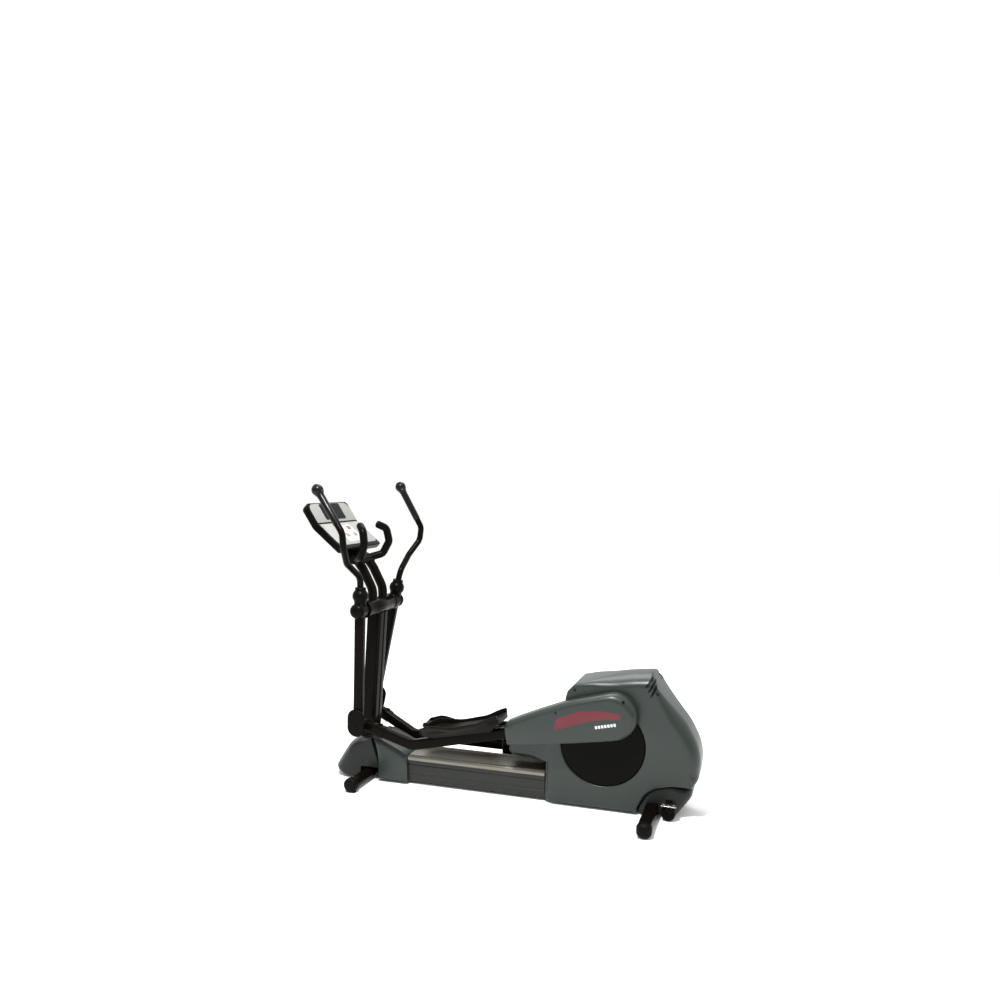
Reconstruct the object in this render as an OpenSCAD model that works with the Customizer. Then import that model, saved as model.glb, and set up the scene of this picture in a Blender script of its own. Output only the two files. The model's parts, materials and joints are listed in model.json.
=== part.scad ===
// Rear-drive elliptical trainer: a low spine with a mast and console at the
// front (-X), a crank housing at the rear (+X), and on each side a rocking
// handlebar arm hinged to a pedal lever. Millimetres, floor at Z = 0.

/* [Swing arms] */
// X of the axle that both swing arms rock on
pivot_x = -698; // [-720:1:-680]
// height of that axle above the floor
pivot_z = 940; // [920:1:960]
// length of a swing arm, from its axle to its lower joint
arm_length = 611; // [600:1:620]
// distance of each arm's middle plane from the centre
arm_plane = 190; // [188:1:196]

/* [Crank] */
// X of the crank axle
crank_x = 545; // [535:1:555]
// height of the crank axle
crank_z = 335; // [325:1:345]
// distance of a crank pin from the axle
crank_radius = 157; // [145:1:165]
// how far the left crank pin leans rearward of straight up, in degrees
crank_phase = 20; // [0:1:30]
// radius of the round crank covers on the housing's sides
disc_radius = 205; // [195:1:207]

/* [Pedal levers] */
// distance from a lever's front joint to its crank pin
lever_length = 1343; // [1340:1:1348]
// distance of each lever's middle plane from the centre
lever_plane = 149; // [148:1:150]
// length of a pedal
pedal_length = 464; // [440:1:468]
// width of a pedal
pedal_width = 158; // [140:1:160]

/* [Base] */
// distance between the tips of the rear floor bar
rear_bar_width = 766; // [700:1:780]
// distance between the tips of the front floor bar
front_bar_width = 632; // [600:1:660]
// half the width of the rear housing
housing_half = 122; // [121:1:124]

/* [Console] */
// width of the console
console_width = 400; // [340:1:420]
// thickness of the console
console_thick = 40; // [36:1:44]

/* [Hidden] */
$fn = 48;
body_grey = [0.36, 0.40, 0.37];
nose_grey = [0.25, 0.28, 0.27];
frame_black = [0.07, 0.07, 0.06];
trim_black = [0.04, 0.04, 0.04];
silver = [0.68, 0.69, 0.66];
steel = [0.6, 0.6, 0.6];
key_white = [0.9, 0.9, 0.88];

left = -1;
right = 1;

// the crank linkage at rest
function pin_angle(side) = crank_phase + (side == right ? 180 : 0);
function pin_at(side) = [crank_x, crank_z] + crank_radius * [sin(pin_angle(side)), cos(pin_angle(side))];
// lower joint: where a circle round the pin meets the circle round the arm's axle
function to_pin(side) = pin_at(side) - [pivot_x, pivot_z];
function bearing(side) = atan2(to_pin(side)[1], to_pin(side)[0]);
function opening(side) = let (d = norm(to_pin(side)))
    acos((arm_length * arm_length + d * d - lever_length * lever_length) / (2 * arm_length * d));
function joint_at(side) = let (a = bearing(side) - opening(side))
    [pivot_x + arm_length * cos(a), pivot_z + arm_length * sin(a)];
function arm_angle(side) = let (j = joint_at(side)) atan2(pivot_x - j[0], pivot_z - j[1]);
function lever_tilt(side) = let (j = joint_at(side), p = pin_at(side)) atan2(p[1] - j[1], p[0] - j[0]);

axle_radius = 15;
boss_radius = 36;
cap_radius = 39;
running = 0.05;
joint_pin_radius = 14;
arm_thick = 36;
arm_deep = 50;
tube_wall = 3.5;
lever_high = 54;
lever_thick = 40;

// bend of a lever, in its own frame: x along the line from joint to crank pin
bend = [280, -120];
rear_run = norm([lever_length, 0] - bend);
rear_tilt = atan2(-bend[1], lever_length - bend[0]);
cover_screws = [-455, -80];
pedal_start = 60;

mast_foot = [-786, 60];
mast_lean = atan2(pivot_x - mast_foot[0], pivot_z - mast_foot[1]);
mast_length = norm([pivot_x, pivot_z] - mast_foot);
// how far up its own line the mast starts
mast_start = 16;
head_radius = 45;

chin_half = 60;
disc_gap = 3;
disc_inner = 105;
disc_outer = housing_half - 1.5;
flywheel_x = 800;
flywheel_z = 372;
drive_radius = 150;
idle_radius = 25;
belt_gap = 0.5;
belt_thick = 3;
frame_wall = 64;
frame_plate = 5;

// the fixed housing, seen from the side
housing_side = [[48, 212], [258, 212], [252, 14], [720, 14], [722, 40], [760, 112], [806, 146], [876, 164],
    [975, 166], [1002, 205], [1010, 270], [1006, 315], [992, 366], [970, 415], [941, 462], [888, 528],
    [838, 583], [790, 645], [345, 500], [48, 292]];
hood_side = [[345, 500], [790, 645], [764, 700], [641, 688], [492, 654], [402, 628], [366, 590]];
skirt_side = [[720, 14], [722, 40], [760, 112], [806, 146], [876, 164], [975, 166], [980, 116], [940, 56],
    [908, 14]];
// the nose boot and the collar behind it, cut back round the front floor bar
nose_side = [[-966, 44], [-916, 120], [-866, 190], [-800, 226], [-708, 244], [-668, 100], [-672, 78],
    [-774, 78], [-778, 16], [-936, 16]];
collar_side = [[-706, 244], [-668, 246], [-535, 183], [-500, 161], [-500, 17], [-674, 17], [-670, 78],
    [-666, 100]];
nose_half = 118;

console_bend = [-913, 1370];
console_lower = [-771, 1249];
console_upper = [-976, 1473];

handle_path = [[0, 190, 96], [0, 196, 170], [-16, 300, 246], [2, 366, 330], [-4, 368, 400], [-158, 336, 590]];
handle_radius = 16;
handle_bend = 60;
// where on the last straight the foam grip starts
grip_start = 0.2;
grip_radius = 18;
knob_radius = 29;
sensor_path = [[-778, 70, 1184], [-722, 118, 1202], [-690, 136, 1268], [-700, 128, 1336], [-738, 88, 1362]];
sensor_radius = 20;
sensor_bend = 34;
tube_path = [[-698, 55, 975], [-696, 55, 1030], [-748, 55, 1136], [-784, 55, 1183]];
tube_radius = 24;
tube_bend = 110;
ball_extra = 0.6;

// ---- placing

// shapes are drawn for the right (+Y) side and mirrored for the left
module on_side(side) {
    mirror([0, side == left ? 1 : 0, 0]) children();
}

// on an arm: its axle at the origin, the arm hanging down -Z
module on_arm(side) {
    on_side(side) translate([pivot_x, 0, pivot_z]) rotate([0, arm_angle(side), 0]) children();
}

// on a lever: its front joint at the origin, the crank pin out along +X
module on_lever(side) {
    on_side(side) translate([joint_at(side)[0], 0, joint_at(side)[1]]) rotate([0, -lever_tilt(side), 0])
        children();
}

// on a lever's rear run: the bend at the origin, the crank pin out along +X
module on_rear_run(side) {
    on_lever(side) translate([bend[0], 0, bend[1]]) rotate([0, -rear_tilt, 0]) children();
}

// a side-view outline, thick from y = from to y = to
module side_plate(points, from, to) {
    translate([0, to, 0]) rotate([90, 0, 0]) linear_extrude(to - from) polygon(points);
}

// a round bar along Y at [x, z]
module cross_bar(at, r, from, to) {
    translate([at[0], to, at[1]]) rotate([90, 0, 0]) cylinder(r = r, h = to - from);
}

function unit(v) = v / norm(v);

// a at the origin and b out along +Z
module pointing(a, b) {
    v = b - a;
    translate(a) rotate([0, acos(v[2] / norm(v)), atan2(v[1], v[0])]) children();
}

// a straight round bar between two points
module straight_bar(a, b, r) {
    pointing(a, b) cylinder(r = r, h = norm(b - a));
}

// the points of a path whose corners are rounded to a bend radius, three points to a corner
function rounded(path, bend_radius) = let (last = len(path) - 1) [
    path[0],
    for (i = [1 : last - 1])
        let (
            before = unit(path[i] - path[i - 1]),
            after = unit(path[i + 1] - path[i]),
            turn = acos(before * after),
            reach = bend_radius * tan(turn / 2),
            middle = path[i] + unit(after - before) * bend_radius / cos(turn / 2)
        )
        each [path[i] - before * reach, middle + unit(path[i] - middle) * bend_radius, path[i] + after * reach],
    path[last]
];

// a bar along a path, with a ball a little larger than the bar closing each corner
module bent_bar(path, r) {
    last = len(path) - 1;
    for (i = [0 : last - 1]) straight_bar(path[i], path[i + 1], r);
    for (i = [1 : last - 1]) translate(path[i]) sphere(r = r + ball_extra);
}

// a side-view outline drawn smaller about a middle point
function drawn_in(points, middle, k) = [for (p = points) middle + (p - middle) * k];

// ---- base

beam_front = -500;
beam_rear = 252;
beam_half = 100;

// the spine's sections: a rail with a round groove along each edge, on a box
rail_low = 136;
rail_high = 160;
rail_groove = [85, 158];
rail_section = [[-beam_half, rail_low], [beam_half, rail_low], [beam_half, 145], [94, 150], [80, rail_high],
    [-80, rail_high], [-94, 150], [-beam_half, 145]];
box_section = [[-94, 17], [94, 17], [beam_half - 1, 60], [beam_half - 1, rail_low], [1 - beam_half, rail_low],
    [1 - beam_half, 60]];
box_hollow = [[-88, 23], [88, 23], [92, 60], [92, 130], [-92, 130], [-92, 60]];

// a section in Y and Z drawn out along the spine
module along_beam() {
    translate([beam_front, 0, 0]) rotate([90, 0, 90]) linear_extrude(beam_rear - beam_front) children();
}

module beam_top() {
    color(silver) along_beam() difference() {
        polygon(rail_section);
        for (s = [-1, 1]) translate([s * rail_groove[0], rail_groove[1]]) circle(r = 6, $fn = 24);
    }
}

module beam_body() {
    color(nose_grey) along_beam() difference() {
        polygon(box_section);
        polygon(box_hollow);
    }
}

front_bar_at = [-734, 40];
rear_bar_at = [793, 40];

module front_stabiliser() {
    reach = front_bar_width / 2 - 38;
    color(frame_black) difference() {
        cross_bar(front_bar_at, 30, -reach, reach);
        cross_bar(front_bar_at, 30 - tube_wall, tube_wall - reach, reach - tube_wall);
    }
}

// a rounded rubber end, flat where it stands
module front_foot(side) {
    color(trim_black) on_side(side) intersection() {
        union() {
            cross_bar(front_bar_at, 38, front_bar_width / 2 - 38, front_bar_width / 2 - 10);
            cross_bar(front_bar_at, 32, front_bar_width / 2 - 10, front_bar_width / 2);
        }
        translate([front_bar_at[0] - 60, 0, 0]) cube([120, front_bar_width, 120]);
    }
    color(trim_black) on_side(side) translate([front_bar_at[0] - 26, front_bar_width / 2 - 34, 0])
        cube([52, 24, 14]);
}

module rear_stabiliser() {
    reach = rear_bar_width / 2 - 40;
    color(frame_black) difference() {
        translate([rear_bar_at[0] - 30, -reach, 12]) cube([60, 2 * reach, 58]);
        translate([rear_bar_at[0] - 30 + tube_wall, tube_wall - reach, 12 + tube_wall])
            cube([60 - 2 * tube_wall, 2 * (reach - tube_wall), 58 - 2 * tube_wall]);
    }
}

module rear_foot(side) {
    color(trim_black) on_side(side) difference() {
        translate([rear_bar_at[0] - 37, rear_bar_width / 2 - 62, 0]) cube([74, 62, 77]);
        translate([rear_bar_at[0] - 30, rear_bar_width / 2 - 63, 12]) cube([60, 23, 58]);
        for (x = [-37, 37]) translate([rear_bar_at[0] + x, 0, 77]) rotate([0, 45, 0])
            cube([14, 2 * rear_bar_width, 14], center = true);
    }
}

wheel_at = [873, 37];
wheel_radius = 34;

module wheel_brackets() {
    color(silver) for (side = [left, right]) on_side(side) {
        cross_bar(wheel_at, 16, 110, 117);
        translate([wheel_at[0] - 16, 110, wheel_at[1]]) cube([32, 7, 58]);
        translate([wheel_at[0] - 36, 110, 76]) cube([72, 44, 6]);
        translate([wheel_at[0] - 16, 149, wheel_at[1]]) cube([32, 5, 42]);
        cross_bar(wheel_at, 16, 149, 154);
        cross_bar(wheel_at, 5, 112, 157);
        cross_bar(wheel_at, 9, 154, 160);
    }
}

module wheel(side) {
    color(trim_black) on_side(side) difference() {
        cross_bar(wheel_at, wheel_radius, 120, 146);
        cross_bar(wheel_at, 5 + running, 119, 147);
    }
}

// what keeps the nose round in plan
module nose_round(wall) {
    translate([-800, 0, 0]) cylinder(r = 168 - wall, h = 300, $fn = 96);
    translate([-800, -200, 0]) cube([200, 400, 300]);
}

module nose_cover() {
    color(nose_grey) difference() {
        intersection() {
            side_plate(nose_side, -nose_half, nose_half);
            nose_round(0);
        }
        intersection() {
            side_plate(drawn_in(nose_side, [-820, 100], 0.94), 6 - nose_half, nose_half - 6);
            nose_round(6);
        }
        mast_way();
    }
}

module collar_cover() {
    color(body_grey) difference() {
        side_plate(collar_side, -nose_half, nose_half);
        side_plate(drawn_in(collar_side, [-600, 100], 0.92), 6 - nose_half, nose_half - 6);
        translate([beam_front - 12, 6 - nose_half, 10]) cube([60, 2 * nose_half - 12, 142]);
        mast_way();
    }
}

// the mast's outline, larger by gap all round
module mast_block(gap) {
    translate([mast_foot[0], 0, mast_foot[1]]) rotate([0, mast_lean, 0])
        translate([-40 - gap, -45 - gap, mast_start - gap])
            cube([80 + 2 * gap, 90 + 2 * gap, mast_length - mast_start + 2 * gap]);
}

module foot_plate(gap) {
    translate([mast_foot[0] - gap, -84 - gap, 70 - gap])
        cube([beam_front - mast_foot[0] + 2 * gap, 168 + 2 * gap, 12 + 2 * gap]);
}

// room for the mast and its foot plate in the covers round them
module mast_way() {
    mast_block(1);
    foot_plate(1);
}

// the mast, and the plate inside the nose that ties it to the front bar and the spine
module mast() {
    color(frame_black) difference() {
        union() {
            mast_block(0);
            foot_plate(0);
        }
        cross_bar([pivot_x, pivot_z], head_radius, -100, 100);
        translate([mast_foot[0], 0, mast_foot[1]]) rotate([0, mast_lean, 0])
            translate([-36, -41, 26]) cube([72, 82, mast_length - head_radius - 40]);
    }
}

module mast_head() {
    color(frame_black) difference() {
        cross_bar([pivot_x, pivot_z], head_radius, -157, 157);
        cross_bar([pivot_x, pivot_z], axle_radius, -160, 160);
        // hollow between its two bearings, left solid under the console tubes
        for (from = [-135, 84]) cross_bar([pivot_x, pivot_z], head_radius - 7, from, from + 51);
    }
}

module pivot_axle() {
    color(steel) cross_bar([pivot_x, pivot_z], axle_radius, -206, 206);
}

// ---- console

module console_tube(side) {
    color(frame_black) on_side(side) bent_bar(rounded(tube_path, tube_bend), tube_radius);
}

// the console seen from the side: two flat panels that meet at a bend
function into(a, b) = let (d = unit(b - a)) [-d[1], d[0]];
console_low_back = console_lower + into(console_lower, console_bend) * console_thick;
console_up_back = console_upper + into(console_bend, console_upper) * console_thick;
console_mid_back = console_bend + 1.02 * console_thick
    * (into(console_lower, console_bend) + into(console_bend, console_upper)) / 2;
bracket_edge = 15;

module console_block() {
    side_plate([console_lower, console_bend, console_upper, console_up_back, console_mid_back, console_low_back],
        -console_width / 2, console_width / 2);
}

// the block under the console that the tubes and sensor bars run into
module console_bracket() {
    up_the_back = unit(console_mid_back - console_low_back) * bracket_edge;
    // a hair's breadth behind the console's back
    off_the_back = [-0.05, -0.05];
    color(trim_black) side_plate([console_low_back + up_the_back + off_the_back,
        console_mid_back - up_the_back + off_the_back, [-890, 1260],
        [-850, 1206], [-800, 1160], [-752, 1158], [-745, 1192], [-797, 1212]], -92, 92);
}

module sensor_bar(side) {
    color(frame_black) on_side(side) bent_bar(rounded(sensor_path, sensor_bend), sensor_radius);
}

// thickness of the face plates, set into the console's front
plate = 4;
// half the groove between the two face plates, and the base's edge round them
groove = 5;
edge = 8;
// the base's bare strip below the lower plate
lip = 24;
upper_length = norm(console_upper - console_bend);
lower_length = norm(console_bend - console_lower);
// each a start down its panel, a length and a width
window = [10, 92, 196];
keypad = [25, 118, 150];
key_size = [22, 30];
key_rows = [36, 86];
key_columns = [-38, 38];
key_floor = 3;
key_lift = 1.6;
key_rise = 2;

// on a panel: its top edge at the origin, +X down the slope and +Z out of the face
module on_upper_panel() {
    d = console_bend - console_upper;
    translate([console_upper[0], 0, console_upper[1]]) rotate([0, -atan2(d[1], d[0]), 0]) children();
}

module on_lower_panel() {
    d = console_lower - console_bend;
    translate([console_bend[0], 0, console_bend[1]]) rotate([0, -atan2(d[1], d[0]), 0]) children();
}

// a slab on a panel, centred across it
module slab(start, length, width, low, high) {
    translate([start, -width / 2, low]) cube([length, width, high - low]);
}

// the two face plates, reaching high above the face when they cut
module face_slabs(high) {
    on_upper_panel() slab(edge, upper_length - edge - groove, console_width - 2 * edge, -plate, high);
    on_lower_panel() slab(groove, lower_length - lip - groove, console_width - 2 * edge, -plate, high);
}

module window_slab(high) {
    on_upper_panel() slab(window[0], window[1], window[2], -plate, high);
}

module keypad_slab(high) {
    on_lower_panel() slab(keypad[0], keypad[1], keypad[2], -plate, high);
}

module console_base() {
    color(trim_black) difference() {
        console_block();
        face_slabs(1);
    }
}

module console_face() {
    color(silver) difference() {
        face_slabs(0);
        window_slab(1);
        keypad_slab(1);
    }
}

module display_window() {
    color(trim_black) window_slab(0);
}

module key_slab(row, column, gap, low, high) {
    on_lower_panel() translate([0, key_columns[column], 0])
        slab(key_rows[row] - gap, key_size[0] + 2 * gap, key_size[1] + 2 * gap, low, high);
}

module key_panel() {
    color(key_white) difference() {
        keypad_slab(0);
        for (row = [0, 1]) for (column = [0, 1]) key_slab(row, column, 0.4, -key_floor, 1);
    }
}

module key(row, column, shade) {
    color(shade) key_slab(row, column, 0, key_lift - key_floor, key_rise);
}

// ---- rear housing

// room for the drive frame where it passes through the rear arch
module frame_way() {
    translate([690, -frame_wall - 10, 0]) cube([172, 2 * frame_wall + 20, 170]);
}

// what the chin's sides are cut back by, so that the pedals pass beside it
module chin_taper(wall) {
    translate([0, 0, 190]) linear_extrude(340) polygon([
        [30, chin_half - wall], [175, chin_half - wall], [292, housing_half + 0.5 - wall], [292, 200], [30, 200]
    ]);
}

module housing_half_shell(side) {
    color(body_grey) on_side(side) difference() {
        side_plate(housing_side, 0.25, housing_half);
        chin_taper(0);
        difference() {
            side_plate(drawn_in(housing_side, [560, 320], 0.975), -1, housing_half - 4);
            chin_taper(4);
        }
        cross_bar([crank_x, crank_z], disc_radius + disc_gap, 0, housing_half + 1);
        translate([beam_rear - 20, -1, 16]) cube([40, beam_half + 2, 146]);
        translate([rear_bar_at[0] - 34, 0, 0]) cube([68, 200, 90]);
        frame_way();
    }
}

// the raised hood, crowned across its width
module hood_solid(inset) {
    intersection() {
        side_plate(drawn_in(hood_side, [580, 610], 1 - inset / 75), inset - housing_half, housing_half - inset);
        translate([345, 0, 470]) rotate([0, -10.5, 0]) translate([-60, 0, 0]) rotate([90, 0, 90])
            linear_extrude(600) union() {
            square([2 * (housing_half - inset - 50), 2 * (142 - inset)], center = true);
            square([2 * (housing_half - inset), 2 * (92 - inset)], center = true);
            for (s = [-1, 1]) translate([s * (housing_half - inset - 50), 92 - inset]) circle(r = 50);
        }
    }
}

vent_count = 3;

module housing_hood() {
    color(body_grey) difference() {
        hood_solid(0);
        hood_solid(4);
        for (i = [0 : vent_count - 1]) translate([766 + i * 11, -70, 690 - i * 17]) rotate([0, 40, 0])
            cube([30, 140, 5]);
    }
}

module rear_skirt() {
    color(trim_black) difference() {
        side_plate(drawn_in(skirt_side, [850, 60], 0.985), -110, 110);
        side_plate(drawn_in(skirt_side, [850, 60], 0.94), -106, 106);
        translate([rear_bar_at[0] - 34, -200, 0]) cube([68, 400, 86]);
        frame_way();
    }
}

screw_places = [[405, 602], [798, 612]];

module housing_screws() {
    color(trim_black) for (side = [left, right], at = screw_places)
        on_side(side) cross_bar(at, 6, housing_half, housing_half + 1.5);
}

// ---- drive, inside the housing

frame_side = [[430, 82], [850, 82], [850, 400], [760, 440], [620, 430], [545, 400], [470, 380], [430, 300]];

module drive_frame() {
    color(frame_black) difference() {
        union() {
            translate([beam_rear, -60, 22]) cube([600, 120, 60]);
            for (s = [left, right]) on_side(s) {
                side_plate(frame_side, frame_wall, frame_wall + frame_plate);
                translate([430, 60, 22]) cube([420, 4 + frame_plate, 60.5]);
                cross_bar([crank_x, crank_z], 34, frame_wall, frame_wall + 22);
            }
        }
        translate([beam_rear - 1, -54, 28]) cube([620, 108, 48]);
        translate([rear_bar_at[0] - 30, -200, 12]) cube([60, 400, 58]);
        cross_bar([crank_x, crank_z], 18 + running, -120, 120);
        cross_bar([flywheel_x, flywheel_z], 10 + running, -120, 120);
    }
}

// where an outside tangent meets a circle of radius r at the crank, and at the flywheel
belt_run = norm([flywheel_x - crank_x, flywheel_z - crank_z]);
belt_slope = atan2(flywheel_z - crank_z, flywheel_x - crank_x);
belt_wrap = acos((drive_radius - idle_radius) / belt_run);

module belt_outline(grow) {
    big = drive_radius + grow;
    small = idle_radius + grow;
    function ray(a) = [cos(a), sin(a)];
    up = belt_slope + belt_wrap;
    down = belt_slope - belt_wrap;
    c = [crank_x, crank_z];
    f = [flywheel_x, flywheel_z];
    union() {
        polygon([c + ray(up) * big, c, c + ray(down) * big, f + ray(down) * small, f, f + ray(up) * small]);
        translate(c) circle(r = big, $fn = 96);
        translate(f) circle(r = small);
    }
}

module drive_belt() {
    color(trim_black) translate([0, 8, 0]) rotate([90, 0, 0]) linear_extrude(16) difference() {
        belt_outline(belt_gap + belt_thick);
        belt_outline(belt_gap);
    }
}

module flywheel() {
    color(steel) {
        cross_bar([flywheel_x, flywheel_z], 10, -74, 74);
        cross_bar([flywheel_x, flywheel_z], idle_radius, -10, 10);
        difference() {
            cross_bar([flywheel_x, flywheel_z], 105, 18, 54);
            cross_bar([flywheel_x, flywheel_z], 78, 36, 60);
        }
        cross_bar([flywheel_x, flywheel_z], 20, 10, 20);
    }
}

module crank_axle() {
    color(steel) cross_bar([crank_x, crank_z], 18, 1 - disc_outer, disc_outer - 1);
}

module drive_pulley() {
    color(silver) difference() {
        union() {
            cross_bar([crank_x, crank_z], drive_radius, -10, 10);
            cross_bar([crank_x, crank_z], 40, -30, 30);
        }
        cross_bar([crank_x, crank_z], 18, -40, 40);
        for (a = [0 : 60 : 300]) cross_bar([crank_x + 95 * cos(a), crank_z + 95 * sin(a)], 32, -11, 11);
    }
}

seat_radius = 24;

module crank_disc(side) {
    color(trim_black) on_side(side) difference() {
        union() {
            cross_bar([crank_x, crank_z], disc_radius, disc_inner, disc_outer);
            cross_bar([crank_x, crank_z], 45, 90, disc_inner);
            cross_bar(pin_at(side), seat_radius, disc_outer, housing_half + 1.5);
        }
        cross_bar([crank_x, crank_z], 18, 80, disc_outer - 1);
    }
}

// ---- swing arms and handlebars

module arm(side) {
    color(frame_black) on_arm(side) difference() {
        union() {
            cross_bar([0, 0], boss_radius, 158, 210);
            translate([-arm_deep / 2, arm_plane - arm_thick / 2, -arm_length])
                cube([arm_deep, arm_thick, arm_length]);
            cross_bar([0, -arm_length], 36, arm_plane - arm_thick / 2, arm_plane + arm_thick / 2);
            cross_bar([0, -arm_length], joint_pin_radius, 127, arm_plane);
        }
        translate([tube_wall - arm_deep / 2, arm_plane - arm_thick / 2 + tube_wall, 40 - arm_length])
            cube([arm_deep - 2 * tube_wall, arm_thick - 2 * tube_wall, arm_length - 80]);
        cross_bar([0, 0], axle_radius + running, 150, 206.3);
    }
}

module pivot_cap(side) {
    color(trim_black) on_arm(side) {
        cross_bar([0, 0], cap_radius, 210, 222);
        intersection() {
            translate([0, 208, 0]) sphere(r = cap_radius);
            translate([-50, 222, -50]) cube([100, 40, 100]);
        }
    }
}

module socket(side) {
    color(trim_black) on_arm(side) difference() {
        union() {
            translate([0, arm_plane, 74]) sphere(r = 40);
            translate([0, arm_plane, 0]) cylinder(r = 31, h = 74);
            translate([0, arm_plane, 74]) cylinder(r = 28, h = 44);
        }
        cross_bar([0, 0], boss_radius, 140, 240);
        cross_bar([0, 0], cap_radius + 0.5, 209.5, 240);
        // nothing is left under the axle
        translate([-60, 100, -60]) cube([120, 160, 60]);
    }
}

module handlebar(side) {
    color(frame_black) on_arm(side) bent_bar(rounded(handle_path, handle_bend), handle_radius);
}

// a foam sleeve round the bar's last straight, with a ball end
module grip(side) {
    last = len(handle_path) - 1;
    tip = handle_path[last];
    start = handle_path[last - 1] * (1 - grip_start) + tip * grip_start;
    length = norm(tip - start);
    color(trim_black) on_arm(side) pointing(start, tip) difference() {
        union() {
            cylinder(r = grip_radius, h = length);
            translate([0, 0, length]) sphere(r = knob_radius);
        }
        translate([0, 0, -10]) cylinder(r = handle_radius, h = length + 10);
    }
}

module joint_cover(side) {
    color(trim_black) on_arm(side) translate([0, arm_plane + arm_thick / 2, 20 - arm_length]) {
        for (dz = [-27, 27]) cross_bar([0, dz], 48, 0, 18);
        translate([-48, 0, -27]) cube([96, 18, 54]);
    }
}

// ---- pedal levers

function across(v) = [-v[1], v[0]];

// a lever's blank: two straight runs that meet in a mitre at the bend, drawn in all round by wall and
// cut short by clear at both ends
module lever_blank(wall, clear) {
    tail = [lever_length, 0];
    half = lever_high / 2 - wall;
    first = across(unit(bend)) * half;
    second = across(unit(tail - bend)) * half;
    mitre = (first + second) / (1 + first * second / (half * half));
    start = unit(bend) * clear;
    finish = tail - unit(tail - bend) * clear;
    side_plate([start + first, bend + mitre, finish + second, finish - second, bend - mitre, start - first],
        lever_plane - lever_thick / 2 + wall, lever_plane + lever_thick / 2 - wall);
}

module lever(side) {
    color(frame_black) on_lever(side) difference() {
        union() {
            lever_blank(0, 0);
            cross_bar([0, 0], 34, lever_plane - lever_thick / 2, lever_plane + lever_thick / 2);
            cross_bar([lever_length, 0], 38, lever_plane - lever_thick / 2, lever_plane + lever_thick / 2);
            cross_bar([lever_length, 0], 20, housing_half + 2, lever_plane);
            // stand-offs that carry the cover
            for (x = cover_screws)
                cross_bar(bend + unit([lever_length, 0] - bend) * (rear_run + x), 9, lever_plane, cover_outer - 20);
        }
        cross_bar([0, 0], joint_pin_radius + running, 100, 200);
        lever_blank(tube_wall, 45);
    }
}

// side view of a lever cover, in the rear run's frame with the crank pin at the origin
cover_reach = 540;
cover_side = [[-cover_reach, -50], [-420, -66], [-225, -82], [-60, -94], [10, -97], [10, 127], [-60, 126], [-150, 124],
    [-225, 116], [-340, 98], [-450, 78], [-520, 62], [3 - cover_reach, 40]];
cover_inner = 126;
cover_outer = 200;
cover_wall = 4;

module cover_shape(grow, from, to) {
    side_plate(drawn_in(cover_side, [-200, 15], 1 - grow / 110), from, to);
    cross_bar([10, 15], 112 - grow, from, to);
}

module lever_cover(side) {
    color(body_grey) on_rear_run(side) translate([rear_run, 0, 0]) difference() {
        union() {
            cover_shape(0, cover_inner, cover_outer - 16);
            cover_shape(8, cover_outer - 16.01, cover_outer - 7);
            cover_shape(20, cover_outer - 7.01, cover_outer);
        }
        cover_shape(cover_wall, cover_inner - 1, cover_outer - 20);
        // mouth that the lever comes in through
        translate([-cover_reach - 20, cover_inner - 1, -lever_high / 2 - 2]) cube([60, 60, lever_high + 4]);
    }
}

// side view of a pedal, along the top of the lever
pedal_skirt = [[0, 20], [0, 36], [26, 66], [80, 76], [150, 66], [230, 54], [330, 56], [430, 68],
    [pedal_length, 82], [pedal_length, 30], [pedal_length - 45, 0], [60, 0]];
pedal_floor = 30;
rim = 9;
tray_side = [[30, pedal_floor], [30, 140], [pedal_length + 5, 140], [pedal_length + 5, pedal_floor + 22],
    [pedal_length - 90, pedal_floor]];
// the hollow underneath
under_side = [[72, -1], [72, pedal_floor - 8], [pedal_length - 60, pedal_floor - 8], [pedal_length - 60, -1]];

module pedal(side) {
    inner = lever_plane - 2 - pedal_width / 2;
    color(trim_black) on_rear_run(side) translate([pedal_start, 0, lever_high / 2]) difference() {
        side_plate(pedal_skirt, inner, inner + pedal_width);
        side_plate(tray_side, inner + rim, inner + pedal_width - rim);
        // hollow underneath, either side of the lever
        side_plate(under_side, inner + rim, lever_plane - lever_thick / 2 - 4);
        side_plate(under_side, lever_plane + lever_thick / 2 + 4, inner + pedal_width - rim);
    }
}

beam_top();
beam_body();
front_stabiliser();
front_foot(left);  // front_foot_left
front_foot(right);  // front_foot_right
rear_stabiliser();
rear_foot(left);  // rear_foot_left
rear_foot(right);  // rear_foot_right
wheel_brackets();
wheel(left);  // wheel_left
wheel(right);  // wheel_right
nose_cover();
collar_cover();
mast();
mast_head();
pivot_axle();
console_tube(left);  // console_tube_left
console_tube(right);  // console_tube_right
console_bracket();
sensor_bar(left);  // sensor_bar_left
sensor_bar(right);  // sensor_bar_right
console_base();
console_face();
display_window();
key_panel();
key(0, 0, [0.2, 0.5, 0.25]);  // key_start
key(0, 1, [0.6, 0.12, 0.1]);  // key_stop
key(1, 0, silver);  // key_up
key(1, 1, silver);  // key_down
housing_half_shell(left);  // housing_left
housing_half_shell(right);  // housing_right
housing_hood();
rear_skirt();
housing_screws();
drive_frame();
drive_belt();
flywheel();
crank_axle();
drive_pulley();
crank_disc(left);  // crank_disc_left
crank_disc(right);  // crank_disc_right
arm(left);  // arm_left
arm(right);  // arm_right
pivot_cap(left);  // pivot_cap_left
pivot_cap(right);  // pivot_cap_right
socket(left);  // socket_left
socket(right);  // socket_right
handlebar(left);  // handlebar_left
handlebar(right);  // handlebar_right
grip(left);  // grip_left
grip(right);  // grip_right
joint_cover(left);  // joint_cover_left
joint_cover(right);  // joint_cover_right
lever(left);  // lever_left
lever(right);  // lever_right
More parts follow.
